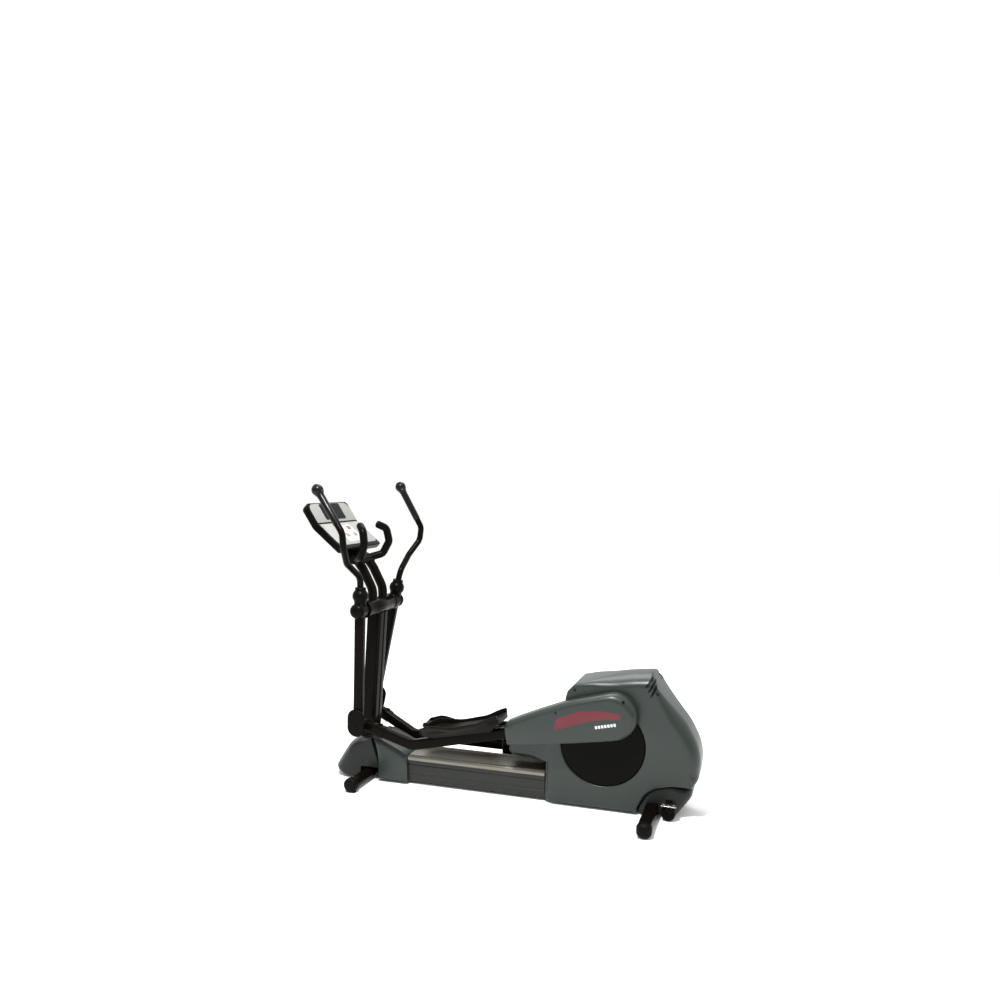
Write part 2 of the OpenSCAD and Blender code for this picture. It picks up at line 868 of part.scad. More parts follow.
lever_cover(left);  // lever_cover_left
lever_cover(right);  // lever_cover_right
pedal(left);  // pedal_left
pedal(right);  // pedal_right
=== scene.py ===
"""Looks of a rear-drive elliptical trainer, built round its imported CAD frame. Metres, floor at z = 0.
The user's left side is -Y. Pieces of the two sides are drawn for the right and mirrored."""
import json
from math import atan2, ceil, cos, hypot, pi, radians, sin, tan

import bmesh
import bpy
from mathutils import Matrix, Vector
from mathutils.bvhtree import BVHTree


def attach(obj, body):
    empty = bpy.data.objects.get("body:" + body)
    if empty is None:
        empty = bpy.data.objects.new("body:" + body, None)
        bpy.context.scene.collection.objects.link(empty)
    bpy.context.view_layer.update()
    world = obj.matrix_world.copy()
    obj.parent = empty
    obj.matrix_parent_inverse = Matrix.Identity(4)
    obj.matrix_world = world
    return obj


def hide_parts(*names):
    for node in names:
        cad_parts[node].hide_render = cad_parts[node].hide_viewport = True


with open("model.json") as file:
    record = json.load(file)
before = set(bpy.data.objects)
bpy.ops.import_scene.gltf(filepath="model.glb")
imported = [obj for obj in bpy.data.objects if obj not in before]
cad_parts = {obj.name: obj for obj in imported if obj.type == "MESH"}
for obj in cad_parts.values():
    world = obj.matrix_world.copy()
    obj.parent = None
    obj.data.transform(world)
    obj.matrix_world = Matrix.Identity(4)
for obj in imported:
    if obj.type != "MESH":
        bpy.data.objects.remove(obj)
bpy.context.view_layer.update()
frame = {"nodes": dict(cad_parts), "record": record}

scene = bpy.context.scene
SIDES = (("left", -1), ("right", 1))
SHARP = 38  # degrees: a piece is shaded smooth except where it turns by more than this

# ---- camera

camera = bpy.data.objects.new("camera", bpy.data.cameras.new("camera"))
scene.collection.objects.link(camera)
scene.camera = camera
camera.location = (1.2543, -3.6555, 1.5717)
camera.rotation_euler = (radians(78), 0, radians(18.43))
camera.data.sensor_width = 36
camera.data.lens = 28.12
camera.data.shift_x = -0.0098
camera.data.shift_y = 0.149

# ---- materials

BLOTCHES = 6  # features of the uneven colour per metre
GLOSS_RANGE = 0.06  # how far the roughness varies either way
GRAIN_DEPTH = 0.0004


def noise(nodes, links, scale, stretch=(1, 1, 1), detail=3):
    """A noise texture on the object's own coordinates, in features per metre."""
    where = nodes.new("ShaderNodeTexCoord")
    spread = nodes.new("ShaderNodeMapping")
    spread.inputs["Scale"].default_value = stretch
    links.new(where.outputs["Object"], spread.inputs["Vector"])
    made = nodes.new("ShaderNodeTexNoise")
    made.inputs["Scale"].default_value = scale
    made.inputs["Detail"].default_value = detail
    links.new(spread.outputs["Vector"], made.inputs["Vector"])
    return made


def finish(name, colour, rough, metal=0.0, coat=0.0, grain=900, relief=0.15, mottle=0.12, stretch=(1, 1, 1),
           shine=0.5):
    """A surface with slightly uneven colour and gloss, and a fine grain in relief. mottle is the share by which its
    colour varies, and grain is in features per metre."""
    made = bpy.data.materials.new(name)
    made.use_nodes = True
    made.diffuse_color = (*colour, 1)
    nodes, links = made.node_tree.nodes, made.node_tree.links
    body = nodes["Principled BSDF"]
    for socket, value in (("Base Color", (*colour, 1)), ("Roughness", rough), ("Metallic", metal),
                          ("Coat Weight", coat), ("Coat Roughness", 0.25), ("Specular IOR Level", shine)):
        body.inputs[socket].default_value = value
    broad = noise(nodes, links, BLOTCHES, detail=4)
    tint = nodes.new("ShaderNodeMix")
    tint.data_type = "RGBA"
    links.new(broad.outputs["Fac"], tint.inputs["Factor"])
    tint.inputs["A"].default_value = (*[c * (1 - mottle) for c in colour], 1)
    tint.inputs["B"].default_value = (*[min(1, c * (1 + mottle)) for c in colour], 1)
    links.new(tint.outputs["Result"], body.inputs["Base Color"])
    fine = noise(nodes, links, grain, stretch)
    gloss = nodes.new("ShaderNodeMapRange")
    gloss.inputs["To Min"].default_value = max(0.02, rough - GLOSS_RANGE)
    gloss.inputs["To Max"].default_value = min(1, rough + GLOSS_RANGE)
    links.new(fine.outputs["Fac"], gloss.inputs["Value"])
    links.new(gloss.outputs["Result"], body.inputs["Roughness"])
    bump = nodes.new("ShaderNodeBump")
    bump.inputs["Strength"].default_value = relief
    bump.inputs["Distance"].default_value = GRAIN_DEPTH
    links.new(fine.outputs["Fac"], bump.inputs["Height"])
    links.new(bump.outputs["Normal"], body.inputs["Normal"])
    return made


MATERIALS = {name: finish(name, colour, rough, **more) for name, colour, rough, more in (
    ("housing_grey", (0.019, 0.0262, 0.0222), 0.36, dict(coat=0.06, shine=0.34)),
    ("nose_grey", (0.0085, 0.0103, 0.0088), 0.38, dict(coat=0.04, shine=0.2)),
    ("spine_grey", (0.015, 0.0165, 0.0145), 0.36, dict(mottle=0.14, shine=0.28)),
    ("frame_black", (0.0028, 0.002, 0.0013), 0.26, dict(grain=400, relief=0.05, shine=0.05)),
    ("trim_black", (0.0026, 0.0024, 0.002), 0.32, dict(grain=1200, shine=0.045)),
    ("pedal_black", (0.0045, 0.0036, 0.0026), 0.34, dict(grain=1200, relief=0.3, shine=0.09)),
    ("rubber_black", (0.003, 0.003, 0.0029), 0.5, dict(relief=0.35, shine=0.06)),
    ("foam_black", (0.0035, 0.0033, 0.0031), 0.27, dict(grain=1500, relief=0.05, shine=0.22)),
    ("beam_silver", (0.19, 0.18, 0.15), 0.34, dict(metal=0.7, grain=500, relief=0.12, mottle=0.14,
                                                     stretch=(0.03, 1, 1))),
    ("console_silver", (0.205, 0.205, 0.19), 0.42, dict(grain=420, relief=0.6)),
    ("window_black", (0.004, 0.004, 0.005), 0.16, dict(relief=0.0, mottle=0.0, shine=0.08)),
    ("key_white", (0.4, 0.4, 0.385), 0.45, {}),
    ("key_green", (0.03, 0.16, 0.05), 0.4, dict(mottle=0.04)),
    ("key_red", (0.25, 0.015, 0.012), 0.4, dict(mottle=0.04)),
    ("key_grey", (0.16, 0.17, 0.17), 0.4, dict(mottle=0.04)),
    ("bracket_steel", (0.55, 0.55, 0.53), 0.28, dict(metal=1.0, grain=300, relief=0.1)),
    ("axle_steel", (0.45, 0.45, 0.45), 0.3, dict(metal=1.0, grain=600, relief=0.1, stretch=(1, 0.05, 1))),
    ("iron", (0.12, 0.12, 0.13), 0.5, dict(metal=0.8, relief=0.4)),
    ("pulley_silver", (0.5, 0.5, 0.5), 0.35, dict(metal=1.0)),
)}
# surfaces without a slot of their own in the CAD
stripe_red = finish("stripe_red", (0.108, 0.015, 0.021), 0.45, mottle=0.3, relief=0.0, shine=0.35)
dash_white = finish("dash_white", (0.62, 0.62, 0.6), 0.5, mottle=0.02, relief=0.0)
floor_white = finish("floor_white", (0.93, 0.93, 0.93), 0.8, mottle=0.0, relief=0.0, shine=0.0)
# near black for the screw heads, and painted shade on the vent slots
bolt_black_and_slot_shade = finish("bolt_black_and_slot_shade", (0.004, 0.004, 0.004), 0.5, relief=0.05, shine=0.08)

# ---- shapes


def each_of(value, count):
    """A list of count values from one number or one for each."""
    return list(value) if hasattr(value, "__len__") else [value] * count


def ramp(value, low, high):
    """0 below low and 1 above high, with a smooth rise between."""
    share = min(1, max(0, (value - low) / (high - low)))
    return share * share * (3 - 2 * share)


def rounded(points, radii, step=0.008, closed=True):
    """Points along a 2-D or 3-D path whose corners are rounded; radii is one number or one for each point."""
    points = [Vector(p) for p in points]
    count = len(points)
    radii = each_of(radii, count)
    made = []
    for i, here in enumerate(points):
        if not closed and i in (0, count - 1):
            made.append(here)
            continue
        before, after = points[i - 1] - here, points[(i + 1) % count] - here
        turn = pi - before.angle(after)
        reach = min(radii[i] * tan(turn / 2), 0.48 * before.length, 0.48 * after.length)
        if turn < 1e-4 or reach < 1e-6:
            made.append(here)
            continue
        radius = reach / tan(turn / 2)
        middle = here + (before.normalized() + after.normalized()).normalized() * radius / cos(turn / 2)
        first, last = here + before.normalized() * reach - middle, here + after.normalized() * reach - middle
        pieces = max(3, int(turn * radius / step), int(turn / 0.2))
        for k in range(pieces + 1):
            share = k / pieces
            a, b = sin((1 - share) * turn) / sin(turn), sin(share * turn) / sin(turn)
            made.append(middle + first * a + last * b)
    return filled(made, step * 4, closed)


def filled(points, longest, closed=True):
    """The path with points added so that no stretch is longer than longest."""
    made = []
    for i, here in enumerate(points):
        made.append(here)
        if not closed and i == len(points) - 1:
            break
        onward = points[(i + 1) % len(points)] - here
        pieces = ceil(onward.length / longest)
        made += [here + onward * k / pieces for k in range(1, pieces)]
    return made


def build(name, verts, faces, sharp=SHARP, outward=True):
    """A mesh object, shaded smooth except where it turns by more than sharp degrees."""
    mesh = bpy.data.meshes.new(name)
    mesh.from_pydata([tuple(v) for v in verts], [], faces)
    work = bmesh.new()
    work.from_mesh(mesh)
    bmesh.ops.remove_doubles(work, verts=work.verts, dist=1e-6)
    if outward:
        bmesh.ops.recalc_face_normals(work, faces=work.faces)
    work.to_mesh(mesh)
    work.free()
    return placed(name, mesh, sharp)


def placed(name, mesh, sharp):
    """A new object in the scene that remembers its shading limit."""
    made = bpy.data.objects.new(name, mesh)
    scene.collection.objects.link(made)
    made["sharp"] = sharp
    return made


def skin(name, rings, caps=True, looped=True, sharp=SHARP):
    """A mesh through rings of equally many points: caps closes its two ends, looped each ring."""
    count = len(rings[0])
    verts = [p for ring in rings for p in ring]
    faces = []
    for r in range(len(rings) - 1):
        for i in range(count if looped else count - 1):
            j = (i + 1) % count
            faces.append((r * count + i, r * count + j, (r + 1) * count + j, (r + 1) * count + i))
    if caps:
        faces.append(tuple(reversed(range(count))))
        faces.append(tuple(range((len(rings) - 1) * count, len(rings) * count)))
    return build(name, verts, faces, sharp)


def axes_of(way):
    """Three square axes, the first along way."""
    axis = Vector(way).normalized()
    across = axis.orthogonal().normalized()
    return axis, across, axis.cross(across)


def round_turn(steps):
    """The angles of a full turn, in radians."""
    return [2 * pi * k / steps for k in range(steps)]


def quarter_turn(steps):
    """The angles of a quarter turn with both its ends, in radians."""
    return [pi / 2 * k / steps for k in range(steps + 1)]


def lathe(name, profile, centre=(0, 0, 0), axis=(0, 1, 0), steps=64, sharp=SHARP):
    """A turned piece: profile is (radius, distance along the axis) from one end to the other."""
    axis, across, other = axes_of(axis)
    centre = Vector(centre)
    rings = [[centre + axis * along + (across * cos(t) + other * sin(t)) * max(radius, 1e-5)
              for t in round_turn(steps)] for radius, along in profile]
    return skin(name, rings, sharp=sharp)


def arc(cx, cz, r, start, end, steps=6):
    """Points of an arc from start to end degrees, for profiles and outlines."""
    turns = [radians(start + (end - start) * k / steps) for k in range(steps + 1)]
    return [(cx + r * cos(t), cz + r * sin(t)) for t in turns]


def tube(name, path, section):
    """Sweeps a section along a path without twist. section is a radius, a radius for each point, or its own (u, v)
    points."""
    path = [Vector(p) for p in path]
    way = [(path[min(i + 1, len(path) - 1)] - path[max(i - 1, 0)]).normalized() for i in range(len(path))]
    side = Vector((0, 1, 0)) if abs(way[0].y) < 0.9 else Vector((1, 0, 0))
    rings = []
    for i, here in enumerate(path):
        side = (side - way[i] * side.dot(way[i])).normalized()
        up = way[i].cross(side)
        if hasattr(section, "__len__") and hasattr(section[0], "__len__"):
            ring = [here + side * u + up * v for u, v in section]
        else:
            r = section[i] if hasattr(section, "__len__") else section
            ring = [here + side * r * cos(t) + up * r * sin(t) for t in round_turn(28)]
        rings.append(ring)
    return skin(name, rings)


def box_section(wide, high, corner):
    """A rounded rectangle's points about its middle."""
    w, h = wide / 2 - corner, high / 2 - corner
    return (arc(w, h, corner, 0, 90, 4) + arc(-w, h, corner, 90, 180, 4)
            + arc(-w, -h, corner, 180, 270, 4) + arc(w, -h, corner, 270, 360, 4))


def inward(outline):
    """The way in from each point of a closed 2-D outline."""
    count = len(outline)
    area = sum(outline[i - 1].x * outline[i].y - outline[i].x * outline[i - 1].y for i in range(count))
    turn = 1 if area > 0 else -1
    ways = [(outline[(i + 1) % count] - outline[i - 1]).normalized() for i in range(count)]
    return [Vector((-way.y, way.x)) * turn for way in ways]


def inset(outline, depths):
    """A closed 2-D outline moved inwards, by a depth for each point. Where a corner is tighter than the depth, the
    points that would cross over meet where its two sides do. Shallow insets aren't looked through for that."""
    shallow = 0.004
    count = len(outline)
    made = [here + way * depth for here, way, depth in zip(outline, inward(outline), depths)]
    if max(depths) < shallow:
        return made
    runs = [outline[(i + 1) % count] - outline[i] for i in range(count)]

    def clear(i):
        """Whether a moved point is still its own depth from every side of the outline."""
        for here, run in zip(outline, runs):
            share = min(1, max(0, (made[i] - here).dot(run) / run.length_squared))
            if (here + run * share - made[i]).length < depths[i] * 0.97 - 1e-5:
                return False
        return True

    good = [clear(i) for i in range(count)]
    if all(good) or not any(good):
        return made
    for first in range(count):
        if good[first] and not good[(first + 1) % count]:
            last = first + 1
            while not good[last % count]:
                last += 1
            a, b = made[first], made[last % count]
            along_a, along_b = made[first] - made[first - 1], made[(last + 1) % count] - made[last % count]
            cross = along_a.x * along_b.y - along_a.y * along_b.x
            meet = (a + b) / 2
            if abs(cross) > 1e-3 * along_a.length * along_b.length:
                found = a + along_a * (((b - a).x * along_b.y - (b - a).y * along_b.x) / cross)
                if (found - meet).length < (a - b).length:
                    meet = found
            for k in range(first + 1, last):
                made[k % count] = meet.copy()
    return made


def at_y(outline, y):
    """A side-view outline stood at y, which is one number or one for each point."""
    return [Vector((p.x, far, p.y)) for p, far in zip(outline, each_of(y, len(outline)))]


def roll_over(outline, inner, outer, fillet, steps=7, spread=1.0):
    """Rings of a wall that stands on a side-view outline and rolls over towards its outer face. outer, fillet and
    spread are one number or one for each point. spread is the roll's reach along Y for each unit inwards."""
    count = len(outline)
    outer, fillet, spread = each_of(outer, count), each_of(fillet, count), each_of(spread, count)
    sign = 1 if outer[0] > inner else -1
    rings = [at_y(outline, inner)]
    drawn = inset(outline, fillet)
    for a in quarter_turn(steps):
        ring = [here + (there - here) * (1 - cos(a)) for here, there in zip(outline, drawn)]
        rings.append(at_y(ring, [y - sign * f * w * (1 - sin(a)) for y, f, w in zip(outer, fillet, spread)]))
    return rings


def slab(name, outline, inner, outer, fillet):
    """A closed block on a side-view outline, rolled over at both faces."""
    middle = (inner + outer) / 2
    low, high = (roll_over(outline, middle, face, fillet) for face in (inner, outer))
    return skin(name, low[::-1] + high[1:])


def join(name, *pieces):
    """One object from several, with the first one's shading limit."""
    work = bmesh.new()
    for p in pieces:
        work.from_mesh(p.data)
    mesh = bpy.data.meshes.new(name)
    work.to_mesh(mesh)
    work.free()
    made = placed(name, mesh, pieces[0]["sharp"])
    for p in pieces:
        bpy.data.objects.remove(p)
    return made


def move(obj, matrix):
    """Moves an object's mesh, not its origin."""
    obj.data.transform(matrix)
    return obj


def bevelled(obj, width, segments):
    """Rounds the edges where a mesh turns by more than 30 degrees."""
    work = bmesh.new()
    work.from_mesh(obj.data)
    edges = [e for e in work.edges if e.is_manifold and e.calc_face_angle(0) > radians(30)]
    bmesh.ops.bevel(work, geom=edges, offset=width, segments=segments, profile=0.5, affect="EDGES",
                    clamp_overlap=True)
    work.to_mesh(obj.data)
    work.free()
    return obj


def block(name, low, high, bevel=0.003, segments=3):
    """A box between two corners with rounded edges."""
    x, y, z = zip(low, high)
    verts = [(a, b, c) for a in x for b in y for c in z]
    faces = [(0, 1, 3, 2), (4, 6, 7, 5), (0, 4, 5, 1), (2, 3, 7, 6), (0, 2, 6, 4), (1, 5, 7, 3)]
    return bevelled(build(name, verts, faces), bevel, segments)


def kept_side(obj, name, point, way):
    """The part of a mesh on the side of a plane that way points to, as a new object."""
    work = bmesh.new()
    work.from_mesh(obj.data)
    bmesh.ops.bisect_plane(work, geom=work.verts[:] + work.edges[:] + work.faces[:], plane_co=point,
                           plane_no=way, clear_inner=True)
    mesh = bpy.data.meshes.new(name)
    work.to_mesh(mesh)
    work.free()
    return placed(name, mesh, obj["sharp"])


def apply_modifiers(obj):
    """Turns an object's modifiers into mesh."""
    solved = bpy.data.meshes.new_from_object(obj.evaluated_get(bpy.context.evaluated_depsgraph_get()))
    obj.modifiers.clear()
    obj.data = solved


def surface_of(obj):
    """A mesh's faces, to lay points onto."""
    return BVHTree.FromPolygons([v.co for v in obj.data.vertices], [p.vertices for p in obj.data.polygons])


def spots_on(tree, points, way):
    """Where points land on a surface from the side that way points to, and the way out of it there."""
    hits = [tree.ray_cast(point + way * 0.3, -way) for point in points]
    return [(spot, normal if normal.dot(way) > 0 else -normal) for spot, normal, _, _ in hits if spot]


def laid_on(name, tree, rows, lift, way):
    """A thin piece on a surface: rows of points laid onto it from the side that way points to. A row that runs off
    the surface is left out."""
    rings = [[spot + out * lift for spot, out in spots_on(tree, row, way)] for row in rows]
    full = [ring for ring in rings if len(ring) == len(rows[0])]
    return skin(name, full, caps=False, looped=False)


def screw(name, centre, axis, radius=0.006, rise=0.0015):
    """A button-head screw with a hexagon socket. axis points out of its head."""
    def six(r, t):
        """How far out a hexagon's side is at a turn."""
        return r / cos((t + pi / 6) % (pi / 3) - pi / 6)

    axis, across, other = axes_of(axis)
    centre = Vector(centre)
    shape = [(radius, -0.002, False), (radius, rise * 0.4, False), (radius * 0.86, rise * 0.85, False),
             (radius * 0.62, rise, False), (radius * 0.46, rise, True), (radius * 0.44, -0.001, True)]
    rings = [[centre + axis * up + (across * cos(t) + other * sin(t)) * (six(r, t) if hexed else r)
              for t in round_turn(36)] for r, up, hexed in shape]
    return skin(name, rings)


def sided(obj, sign, place=None):
    """Turns a right-hand piece into a left-hand one when sign is -1, then moves it to its place."""
    if sign < 0:
        move(obj, Matrix.Diagonal((1, -1, 1, 1)))
        obj.data.flip_normals()
    return move(obj, place) if place else obj


def put(obj, surface, *nodes, body="frame"):
    """Gives a piece its finish and its body, and hides the CAD nodes that it stands for. surface is a slot's name
    or, for a piece without one, a material."""
    slotted = isinstance(surface, str)
    obj.data.materials.clear()
    obj.data.materials.append(MATERIALS[surface] if slotted else surface)
    obj.data.shade_smooth()
    obj.data.set_sharp_from_angle(angle=radians(obj["sharp"]))
    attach(obj, body)
    if nodes:
        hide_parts(*nodes)
    return obj


# ---- where things are

JOINTS = {j["name"]: j for j in frame["record"]["behaviour"]["joints"]}


def joint_at(name):
    """Where a joint is in side view."""
    x, _, z = JOINTS[name]["pos_m"]
    return Vector((x, 0, z))


PIVOT = joint_at("left_rocker_swing")
CRANK = joint_at("crank_turn")
CRANK_RADIUS = 0.157
CRANK_PHASE = 20  # degrees that the left crank pin stands behind the top, at rest
LEVER_LENGTH = 1.343
BEND = Vector((0.28, 0, -0.12))  # a lever's bend, from its front joint
REAR_RUN = hypot(LEVER_LENGTH - BEND.x, BEND.z)
REAR_TILT = atan2(-BEND.z, LEVER_LENGTH - BEND.x)


def turn_y(angle):
    """A turn about Y by an angle in radians."""
    return Matrix.Rotation(angle, 4, "Y")


def pin_at(side):
    """A crank pin's seat in side view."""
    a = radians(CRANK_PHASE + (180 if side == "right" else 0))
    return CRANK + Vector((sin(a), 0, cos(a))) * CRANK_RADIUS


def arm_frame(side):
    """Swing arm: its axle at the origin, the arm hanging down -Z."""
    down = PIVOT - joint_at(side + "_lever_pivot")
    return Matrix.Translation(PIVOT) @ turn_y(atan2(down.x, down.z))


def lever_frame(side):
    """Pedal lever: its front joint at the origin, the crank pin out along +X."""
    joint = joint_at(side + "_lever_pivot")
    run = pin_at(side) - joint
    return Matrix.Translation(joint) @ turn_y(-atan2(run.z, run.x))


def rear_frame(side):
    """A lever's rear run: the bend at the origin, the crank pin out along +X."""
    return lever_frame(side) @ Matrix.Translation(BEND) @ turn_y(-REAR_TILT)


# ---- base

BEAM_FRONT, BEAM_REAR = -0.5, 0.252
FRONT_BAR = Vector((-0.734, 0, 0.04))
WHEEL = Vector((0.873, 0, 0.037))


def along_x(name, half):
    """A piece of the beam from the right half of its (y, z) section, from top centre to bottom centre."""
    ring = half + [(-y, z) for y, z in reversed(half) if y > 1e-6]
    return skin(name, [[(x, y, z) for y, z in ring] for x in (BEAM_FRONT, BEAM_REAR)], sharp=30)


def base():
    """The centre beam and its two cross bars with their feet."""
    groove = arc(0.0855, 0.1595, 0.0055, 180, 360, 8)
    top = [(0, 0.16), (0.07, 0.1598), (0.079, 0.1592)] + groove + [(0.0925, 0.158)]
    top += arc(0.0925, 0.1505, 0.007, 80, 0, 6)[1:] + [(0.0998, 0.147), (0.0998, 0.1365), (0, 0.1365)]
    put(along_x("beam_rail", top), "beam_silver", "beam_top")
    low = [(0, 0.1362), (0.0985, 0.1362), (0.0985, 0.118), (0.0955, 0.116), (0.0955, 0.112), (0.0985, 0.11)]
    low += [(0.0985, 0.064), (0.096, 0.062), (0.096, 0.058), (0.0975, 0.056), (0.0945, 0.024)]
    low += arc(0.0865, 0.025, 0.008, 0, -90, 4) + [(0, 0.017)]
    put(along_x("beam_box", low), "spine_grey", "beam_body")

    put(lathe("front_bar", [(0.0295, -0.28), (0.03, -0.278), (0.03, 0.278), (0.0295, 0.28)], FRONT_BAR),
        "frame_black", "front_stabiliser")
    put(block("rear_bar", (0.763, -0.345, 0.012), (0.823, 0.345, 0.07), 0.009, 4), "frame_black", "rear_stabiliser")
    cap = [(0.0305, 0.276), (0.0365, 0.278), (0.0378, 0.281), (0.0378, 0.2845), (0.0362, 0.286), (0.0362, 0.289),
           (0.0378, 0.2905), (0.0378, 0.3), (0.0366, 0.306), (0.0335, 0.311), (0.028, 0.3145), (0.018, 0.3158),
           (0.0, 0.316)]
    for side, sign in SIDES:
        pad = block("pad", (-0.759, 0.283, 0.0002), (-0.709, 0.305, 0.014), 0.004)
        foot = join("front_foot_" + side, lathe("cap", cap, FRONT_BAR), pad)
        put(sided(foot, sign), "rubber_black", "front_foot_" + side)
        foot = block("rear_foot_" + side, (0.7565, 0.3215, 0.0005), (0.8295, 0.3828, 0.0765), 0.0295, 9)
        put(sided(foot, sign), "rubber_black", "rear_foot_" + side)


def wheels():
    """The transport wheels at the rear, each between the black ears of a steel bracket."""
    tyre = [(0.011, 0.1205), (0.011, 0.1225), (0.0215, 0.1225), (0.023, 0.1205), (0.03, 0.1205), (0.033, 0.1225)]
    tyre += [(0.0338, 0.126), (0.0338, 0.14), (0.033, 0.1435), (0.03, 0.1455), (0.023, 0.1455)]
    tyre += [(0.0215, 0.1435), (0.011, 0.1435), (0.011, 0.1455), (0.0055, 0.1455)]
    ring = 0.0165  # how far out the six spokes stand
    for name, sign in SIDES:
        spokes = [lathe("spoke", [(0.003, 0.1226), (0.003, 0.1444)],
                        WHEEL + Vector((cos(t), 0, sin(t))) * ring, steps=16)
                  for t in (k * pi / 3 for k in range(6))]
        wheel = join("transport_wheel_" + name, lathe("tyre", tyre, WHEEL), *spokes)
        put(sided(wheel, sign), "rubber_black", "wheel_" + name, body=name + "_wheel")
    x = WHEEL.x
    plates, ears = [], []
    for _, sign in SIDES:
        for low, high, top in ((0.1102, 0.1168, 0.095), (0.1492, 0.1538, 0.08)):
            ear = rounded([(x - 0.016, top), (x + 0.016, top), (x + 0.016, 0.021), (x - 0.016, 0.021)],
                          [0.002, 0.002, 0.0155, 0.0155], 0.002)
            ears.append(sided(slab("ear", ear, low, high, 0.0009), sign))
        bridge = block("bridge", (x - 0.036, 0.1102, 0.0762), (x + 0.036, 0.1538, 0.0818), 0.0015)
        plates.append(sided(bridge, sign))
        ears.append(sided(screw("bolt", (x, 0.1545, WHEEL.z), (0, 1, 0), 0.009, 0.005), sign))
        for dx in (-0.024, 0.024):
            plates.append(sided(screw("bolt", (x + dx, 0.132, 0.082), (0, 0, 1), 0.005, 0.002), sign))
    put(join("wheel_bracket_pair", *plates), "bracket_steel", "wheel_brackets")
    put(join("wheel_bracket_ears", *ears), "frame_black", "wheel_brackets")


def boots():
    """The nose boot and the collar behind it, round the foot of the mast."""
    nose = rounded([(-0.966, 0.044), (-0.916, 0.12), (-0.866, 0.19), (-0.8, 0.226), (-0.708, 0.2435),
                    (-0.668, 0.1), (-0.672, 0.078), (-0.774, 0.078), (-0.778, 0.017), (-0.936, 0.017)],
                   [0.022, 0.25, 0.12, 0.15, 0.004, 0.01, 0.004, 0.01, 0.01, 0.02])
    # rings across the nose: round in plan at its tip, and rolled over along its back
    half, tip, back, steps = 0.1175, 0.078, 0.03, 14
    rings = []
    for k in range(-steps, steps + 1):
        y = half * sin(pi / 2 * k / steps)
        off = 1 - (1 - (y / half) ** 2) ** 0.5
        rings.append([Vector((p.x + tip * off * ramp(-p.x, 0.79, 0.95), y,
                              p.y - back * off * ramp(p.y, 0.09, 0.19) * ramp(-p.x, 0.69, 0.78))) for p in nose])
    put(skin("nose_boot", rings), "nose_grey", "nose_cover")
    collar = rounded([(-0.706, 0.2435), (-0.668, 0.2445), (-0.535, 0.183), (-0.5, 0.161), (-0.5, 0.0175),
                      (-0.674, 0.0175), (-0.67, 0.078), (-0.666, 0.1)],
                     [0.004, 0.03, 0.12, 0.01, 0.006, 0.006, 0.02, 0.01])
    soft = [0.005 + 0.022 * ramp(p.y, 0.1, 0.16) for p in collar]
    put(slab("mast_collar", collar, -0.117, 0.117, soft), "housing_grey", "collar_cover")


# ---- mast and console

MAST_FOOT = Vector((-0.786, 0, 0.06))


def mast():
    """The fluted mast on its foot plate, and the tube across its head that the arms swing on."""
    run = PIVOT - MAST_FOOT
    place = Matrix.Translation(MAST_FOOT) @ turn_y(atan2(run.x, run.z))
    side, flute = 0.04, 0.004
    half = [(0.0, 0.045), (0.026, 0.045)] + arc(0.027, 0.032, 0.0128, 90, 0)
    half += [(side, 0.012), (side - flute, 0.008), (side - flute, -0.008), (side, -0.012)]
    half += arc(0.027, -0.032, 0.0128, 0, -90) + [(0.026, -0.045), (0.0, -0.045)]
    ring = half + [(-x, y) for x, y in reversed(half) if x > 1e-6]
    post = skin("post", [[(x, y, z) for x, y in ring] for z in (0.02, run.length - 0.03)], sharp=30)
    foot = block("plate", (-0.786, -0.084, 0.07), (BEAM_FRONT, 0.084, 0.082), 0.002)
    put(join("mast_post", move(post, place), foot), "frame_black", "mast")
    head = [(0.036, -0.1568), (0.0435, -0.1565), (0.0448, -0.155), (0.0448, -0.136), (0.0435, -0.1345),
            (0.0415, -0.1335), (0.0415, -0.066), (0.0446, -0.06)]
    head += [(r, -y) for r, y in reversed(head)]
    put(lathe("mast_crossbar", head, PIVOT), "frame_black", "mast_head")


CONSOLE_BEND = Vector((-0.913, 0, 1.37))
CONSOLE_LOW = Vector((-0.771, 0, 1.249))
CONSOLE_TOP = Vector((-0.976, 0, 1.473))
CONSOLE_THICK = 0.04
CONSOLE_HALF = 0.2
GROOVE = 0.005  # from each face to the bend between them
EDGE = 0.008  # from the faces to the sides and the top
LIP = 0.024  # from the lower face to the bottom edge
SUNK = -0.004  # how deep the faces and the pieces on them reach into the shell


def panel_frame(top, bottom):
    """A panel's top edge at the origin, +X down its slope and +Z out of its face."""
    run = bottom - top
    return Matrix.Translation(top) @ turn_y(-atan2(run.z, run.x))


UPPER = panel_frame(CONSOLE_TOP, CONSOLE_BEND)
LOWER = panel_frame(CONSOLE_BEND, CONSOLE_LOW)
UPPER_LENGTH = (CONSOLE_BEND - CONSOLE_TOP).length
LOWER_LENGTH = (CONSOLE_LOW - CONSOLE_BEND).length


def tile(name, start, end, half, low, high, radii, fillet, place):
    """A flat rounded piece on a panel: start and end down the slope, half its width, low and high from the face.
    radii is one number, or two for the corners at the top edge and two for those at the bottom edge."""
    outline = rounded([(start, -half), (start, half), (end, half), (end, -half)], radii, 0.002)
    made = slab(name, outline, low, high, fillet)
    # the slab stands along Y: turn it so that it stands along Z
    return move(made, place @ Matrix(((1, 0, 0, 0), (0, 0, 1, 0), (0, 1, 0, 0), (0, 0, 0, 1))))


